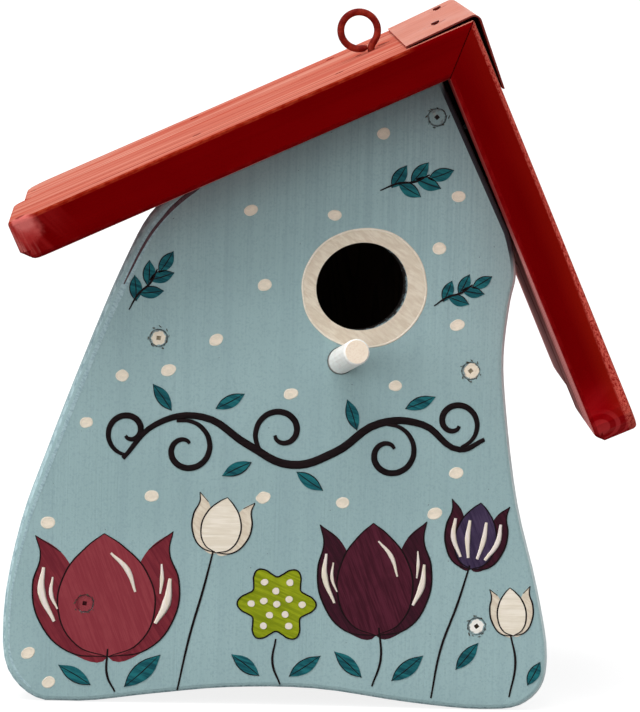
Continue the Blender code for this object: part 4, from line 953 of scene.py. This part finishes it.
def hanging_eye():
    """The screw eye: its ring bends out of the shank and closes on it from the left."""
    outward = Vector((-math.sin(LEFT_PITCH), 0, math.cos(LEFT_PITCH)))
    foot = Vector(EYE_FOOT)
    route = [foot - outward * depth for depth in EYE_DEPTHS]
    route.append(foot + outward * EYE_NECK + Vector((0.0001, 0, 0)))
    for index in range(EYE_STEPS + 1):
        angle = math.radians(EYE_START + EYE_SWEEP * index / EYE_STEPS)
        route.append(Vector((EYE_RING[0] + EYE_RADIUS * math.cos(angle), EYE_RING[1],
                             EYE_RING[2] + EYE_RADIUS * math.sin(angle))))
    route.insert(4, route[4].lerp(route[3], 0.5) - Vector((0.00035, 0, 0)))
    data = bpy.data.curves.new("hanging_eye", "CURVE")
    data.dimensions = "3D"
    data.resolution_u = 5
    data.bevel_depth = EYE_WIRE
    data.bevel_resolution = 4
    data.use_fill_caps = True
    spline = data.splines.new("BEZIER")
    spline.bezier_points.add(len(route) - 1)
    for knot, place in zip(spline.bezier_points, route):
        knot.co = place
        knot.handle_left_type = knot.handle_right_type = "AUTO"
    spline.bezier_points[0].radius, spline.bezier_points[-1].radius = EYE_ENDS
    paint = red_metal_look("hanging_eye_paint", rgb(140, 44, 30), rgb(104, 18, 14), 0.6)
    piece = add_piece("hanging_eye", curve_mesh(data), paint)
    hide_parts("screw_eye")


# Wear of the planks, and the eye's painted shadow: place and radii in millimetres, turn, colour,
# strength
LEFT_MARKS = (
    ((-110.5, -72.0, 176.0), (8.0, 8.0, 8.0), 0.4, rgb(176, 52, 50), 0.6),
    ((-110.8, -72.0, 179.6), (10.5, 8.0, 5.4), 0.4, rgb(206, 96, 92), 0.35),
    ((-112.0, -72.0, 180.2), (8.0, 8.0, 4.2), 0.4, PINK, 0.42),
    ((-111.3, -66.0, 180.5), (2.4, 5.0, 1.2), -0.42, rgb(120, 30, 26), 0.8),
    ((22.3, 12.5, 242.8), (3.2, 2.6, 1.6), -0.42, rgb(56, 20, 16), 0.85),
    # painted shadow of the eye's ring on the plank
    ((13.0, 8.0, 238.6), (1.8, 2.6, 1.5), 0.0, rgb(110, 20, 16), 0.8))
LEFT_REAR_MARKS = (
    ((21.5, 16.2, 242.4), (2.4, 2.2, 1.6), -0.42, rgb(96, 30, 24), 0.6),
    ((-108.7, 44.2, 181.7), (1.6, 1.2, 1.0), 0.0, DARK, 0.8),
    ((-6.8, 15.5, 229.3), (3.0, 0.8, 1.5), 0.0, DARK, 0.6),
    ((-9.5, 42.1, 228.0), (1.2, 1.2, 1.5), 0.0, DARK, 0.6))
RIGHT_MARKS = (
    ((116.0, -73.0, 110.0), (3.0, 6.0, 3.0), 0.5, rgb(226, 130, 124), 0.5),)
RIGHT_REAR_MARKS = (
    ((75.6, 20.0, 160.7), (1.0, 8.0, 6.0), 0.4, DARK, 0.7),)


def dress_all():
    """Materials of all CAD nodes."""
    dress(["front_panel"], front_panel_look())
    dress(["back_panel"], board_look("back_panel_paint", UPRIGHT, BACKWARD))
    dress(["left_wall"], board_look("left_wall_paint", -LEFT_WALL_LEAN, LEFTWARD))
    dress(["right_wall"], board_look("right_wall_paint", -RIGHT_WALL_LEAN, RIGHTWARD))
    dress(["left_front_plank"], roof_look("left_front_paint", "left", 0.35, LEFT_MARKS))
    dress(["left_rear_plank"], roof_look("left_rear_paint", "left", 0.9, LEFT_REAR_MARKS))
    dress(["right_front_plank"], roof_look("right_front_paint", "right", 0.4, RIGHT_MARKS))
    dress(["right_rear_plank"], roof_look("right_rear_paint", "right", 0.7, RIGHT_REAR_MARKS))
    dress(["ridge_strip"], strip_look())
    dress(["screw_eye"], red_metal_look("eye_paint", rgb(132, 40, 30), rgb(100, 18, 14), 0.7))
    # the strip's pins darker than the roof paint: painted shade of the dents round them
    dress(named("strip_pin"),
          red_metal_look("strip_pin_shade_paint", rgb(110, 32, 24), rgb(60, 14, 12), 0.3))
    dress(named("roof_pin"), pin_look())
    # the batten has painted shade all round, the floor on its upper face
    dress(["ridge_batten"], bare_wood("batten_softwood", 0.0))
    dress(["floor_flap"], bare_wood("floor_softwood", 0.0, UPWARD))
    dress(["perch"], perch_look())
    tan = rgb(184, 172, 148)
    heads = (                       # paint, radius of its daub, colour in the recess, shift
        (BLUE, 2.0, DARK, (0, 0)), (CREAM, 2.75, tan, (0, 0)),
        (rgb(254, 240, 218), 2.9, tan, (0.4, 0)), (BERRY, 9.0, rgb(84, 24, 34), (0, 0)),
        (rgb(254, 250, 242), 2.7, rgb(70, 56, 40), (0, 0)))
    for index, (place, head) in enumerate(zip(SCREW_PLACES, heads), 1):
        dress([f"front_screw_{index}"], screw_look(f"head_paint_{index}", place, *head))
    zinc = zinc_look()
    dress(named(("back_screw", "pivot_screw")), zinc)
    dress(["button_screw", "turn_button"], zinc)


def seen_directly(tree):
    """1 for camera, glossy and transmission rays, 0 for the light that falls on the object."""
    rays = tree.nodes.new("ShaderNodeLightPath")
    total = rays.outputs["Is Camera Ray"]
    for name in ("Is Glossy Ray", "Is Transmission Ray"):
        either = tree.nodes.new("ShaderNodeMath")
        either.operation = "MAXIMUM"
        tree.links.new(total, either.inputs[0])
        tree.links.new(rays.outputs[name], either.inputs[1])
        total = either.outputs[0]
    return total


def white_stage():
    """A white floor and surround. The floor keeps a faint shadow of the object."""
    look = Look("floor_white", 1.0, specular=0.0)
    seen = seen_directly(look.tree)
    look.feed(look.shader.inputs["Emission Color"], WHITE)
    look.feed(look.shader.inputs["Emission Strength"], look.times(seen, FLOOR_GLOW))
    look.done(look.mix(seen, FLOOR_BOUNCE, FLOOR_SEEN))
    bpy.ops.mesh.primitive_plane_add(size=FLOOR_SIZE, location=FLOOR_PLACE)
    floor = bpy.context.object
    floor.name = "floor"
    floor.data.materials.append(look.material)
    world = bpy.data.worlds.new("surround")
    bpy.context.scene.world = world
    world.use_nodes = True
    tree = world.node_tree
    level = tree.nodes.new("ShaderNodeMapRange")
    tree.links.new(seen_directly(tree), level.inputs["Value"])
    level.inputs["To Min"].default_value = AMBIENT
    level.inputs["To Max"].default_value = 1.0
    shade = tree.nodes["Background"]
    shade.inputs["Color"].default_value = WHITE
    tree.links.new(level.outputs["Result"], shade.inputs["Strength"])


def soft_sun(name, source, strength, angle):
    """Parallel light from a broad soft source in this direction."""
    data = bpy.data.lights.new(name, "SUN")
    data.energy = strength
    data.angle = math.radians(angle)
    piece = bpy.data.objects.new(name, data)
    bpy.context.scene.collection.objects.link(piece)
    piece.rotation_euler = Vector(source).to_track_quat("Z", "Y").to_euler()


def camera():
    """The photograph's point of view."""
    data = bpy.data.cameras.new("camera")
    data.sensor_width = SENSOR
    data.lens = FOCAL_PIXELS / LONG_SIDE * SENSOR
    data.clip_start, data.clip_end = CAMERA_CLIP
    piece = bpy.data.objects.new("camera", data)
    bpy.context.scene.collection.objects.link(piece)
    piece.location = CAMERA_PLACE
    piece.rotation_euler = [math.radians(angle) for angle in CAMERA_TURN]
    bpy.context.scene.camera = piece


dress_all()
paint_panel()
hanging_eye()
white_stage()
for sun in SUNS:
    soft_sun(*sun)
camera()
bpy.context.scene.view_settings.view_transform = "Standard"
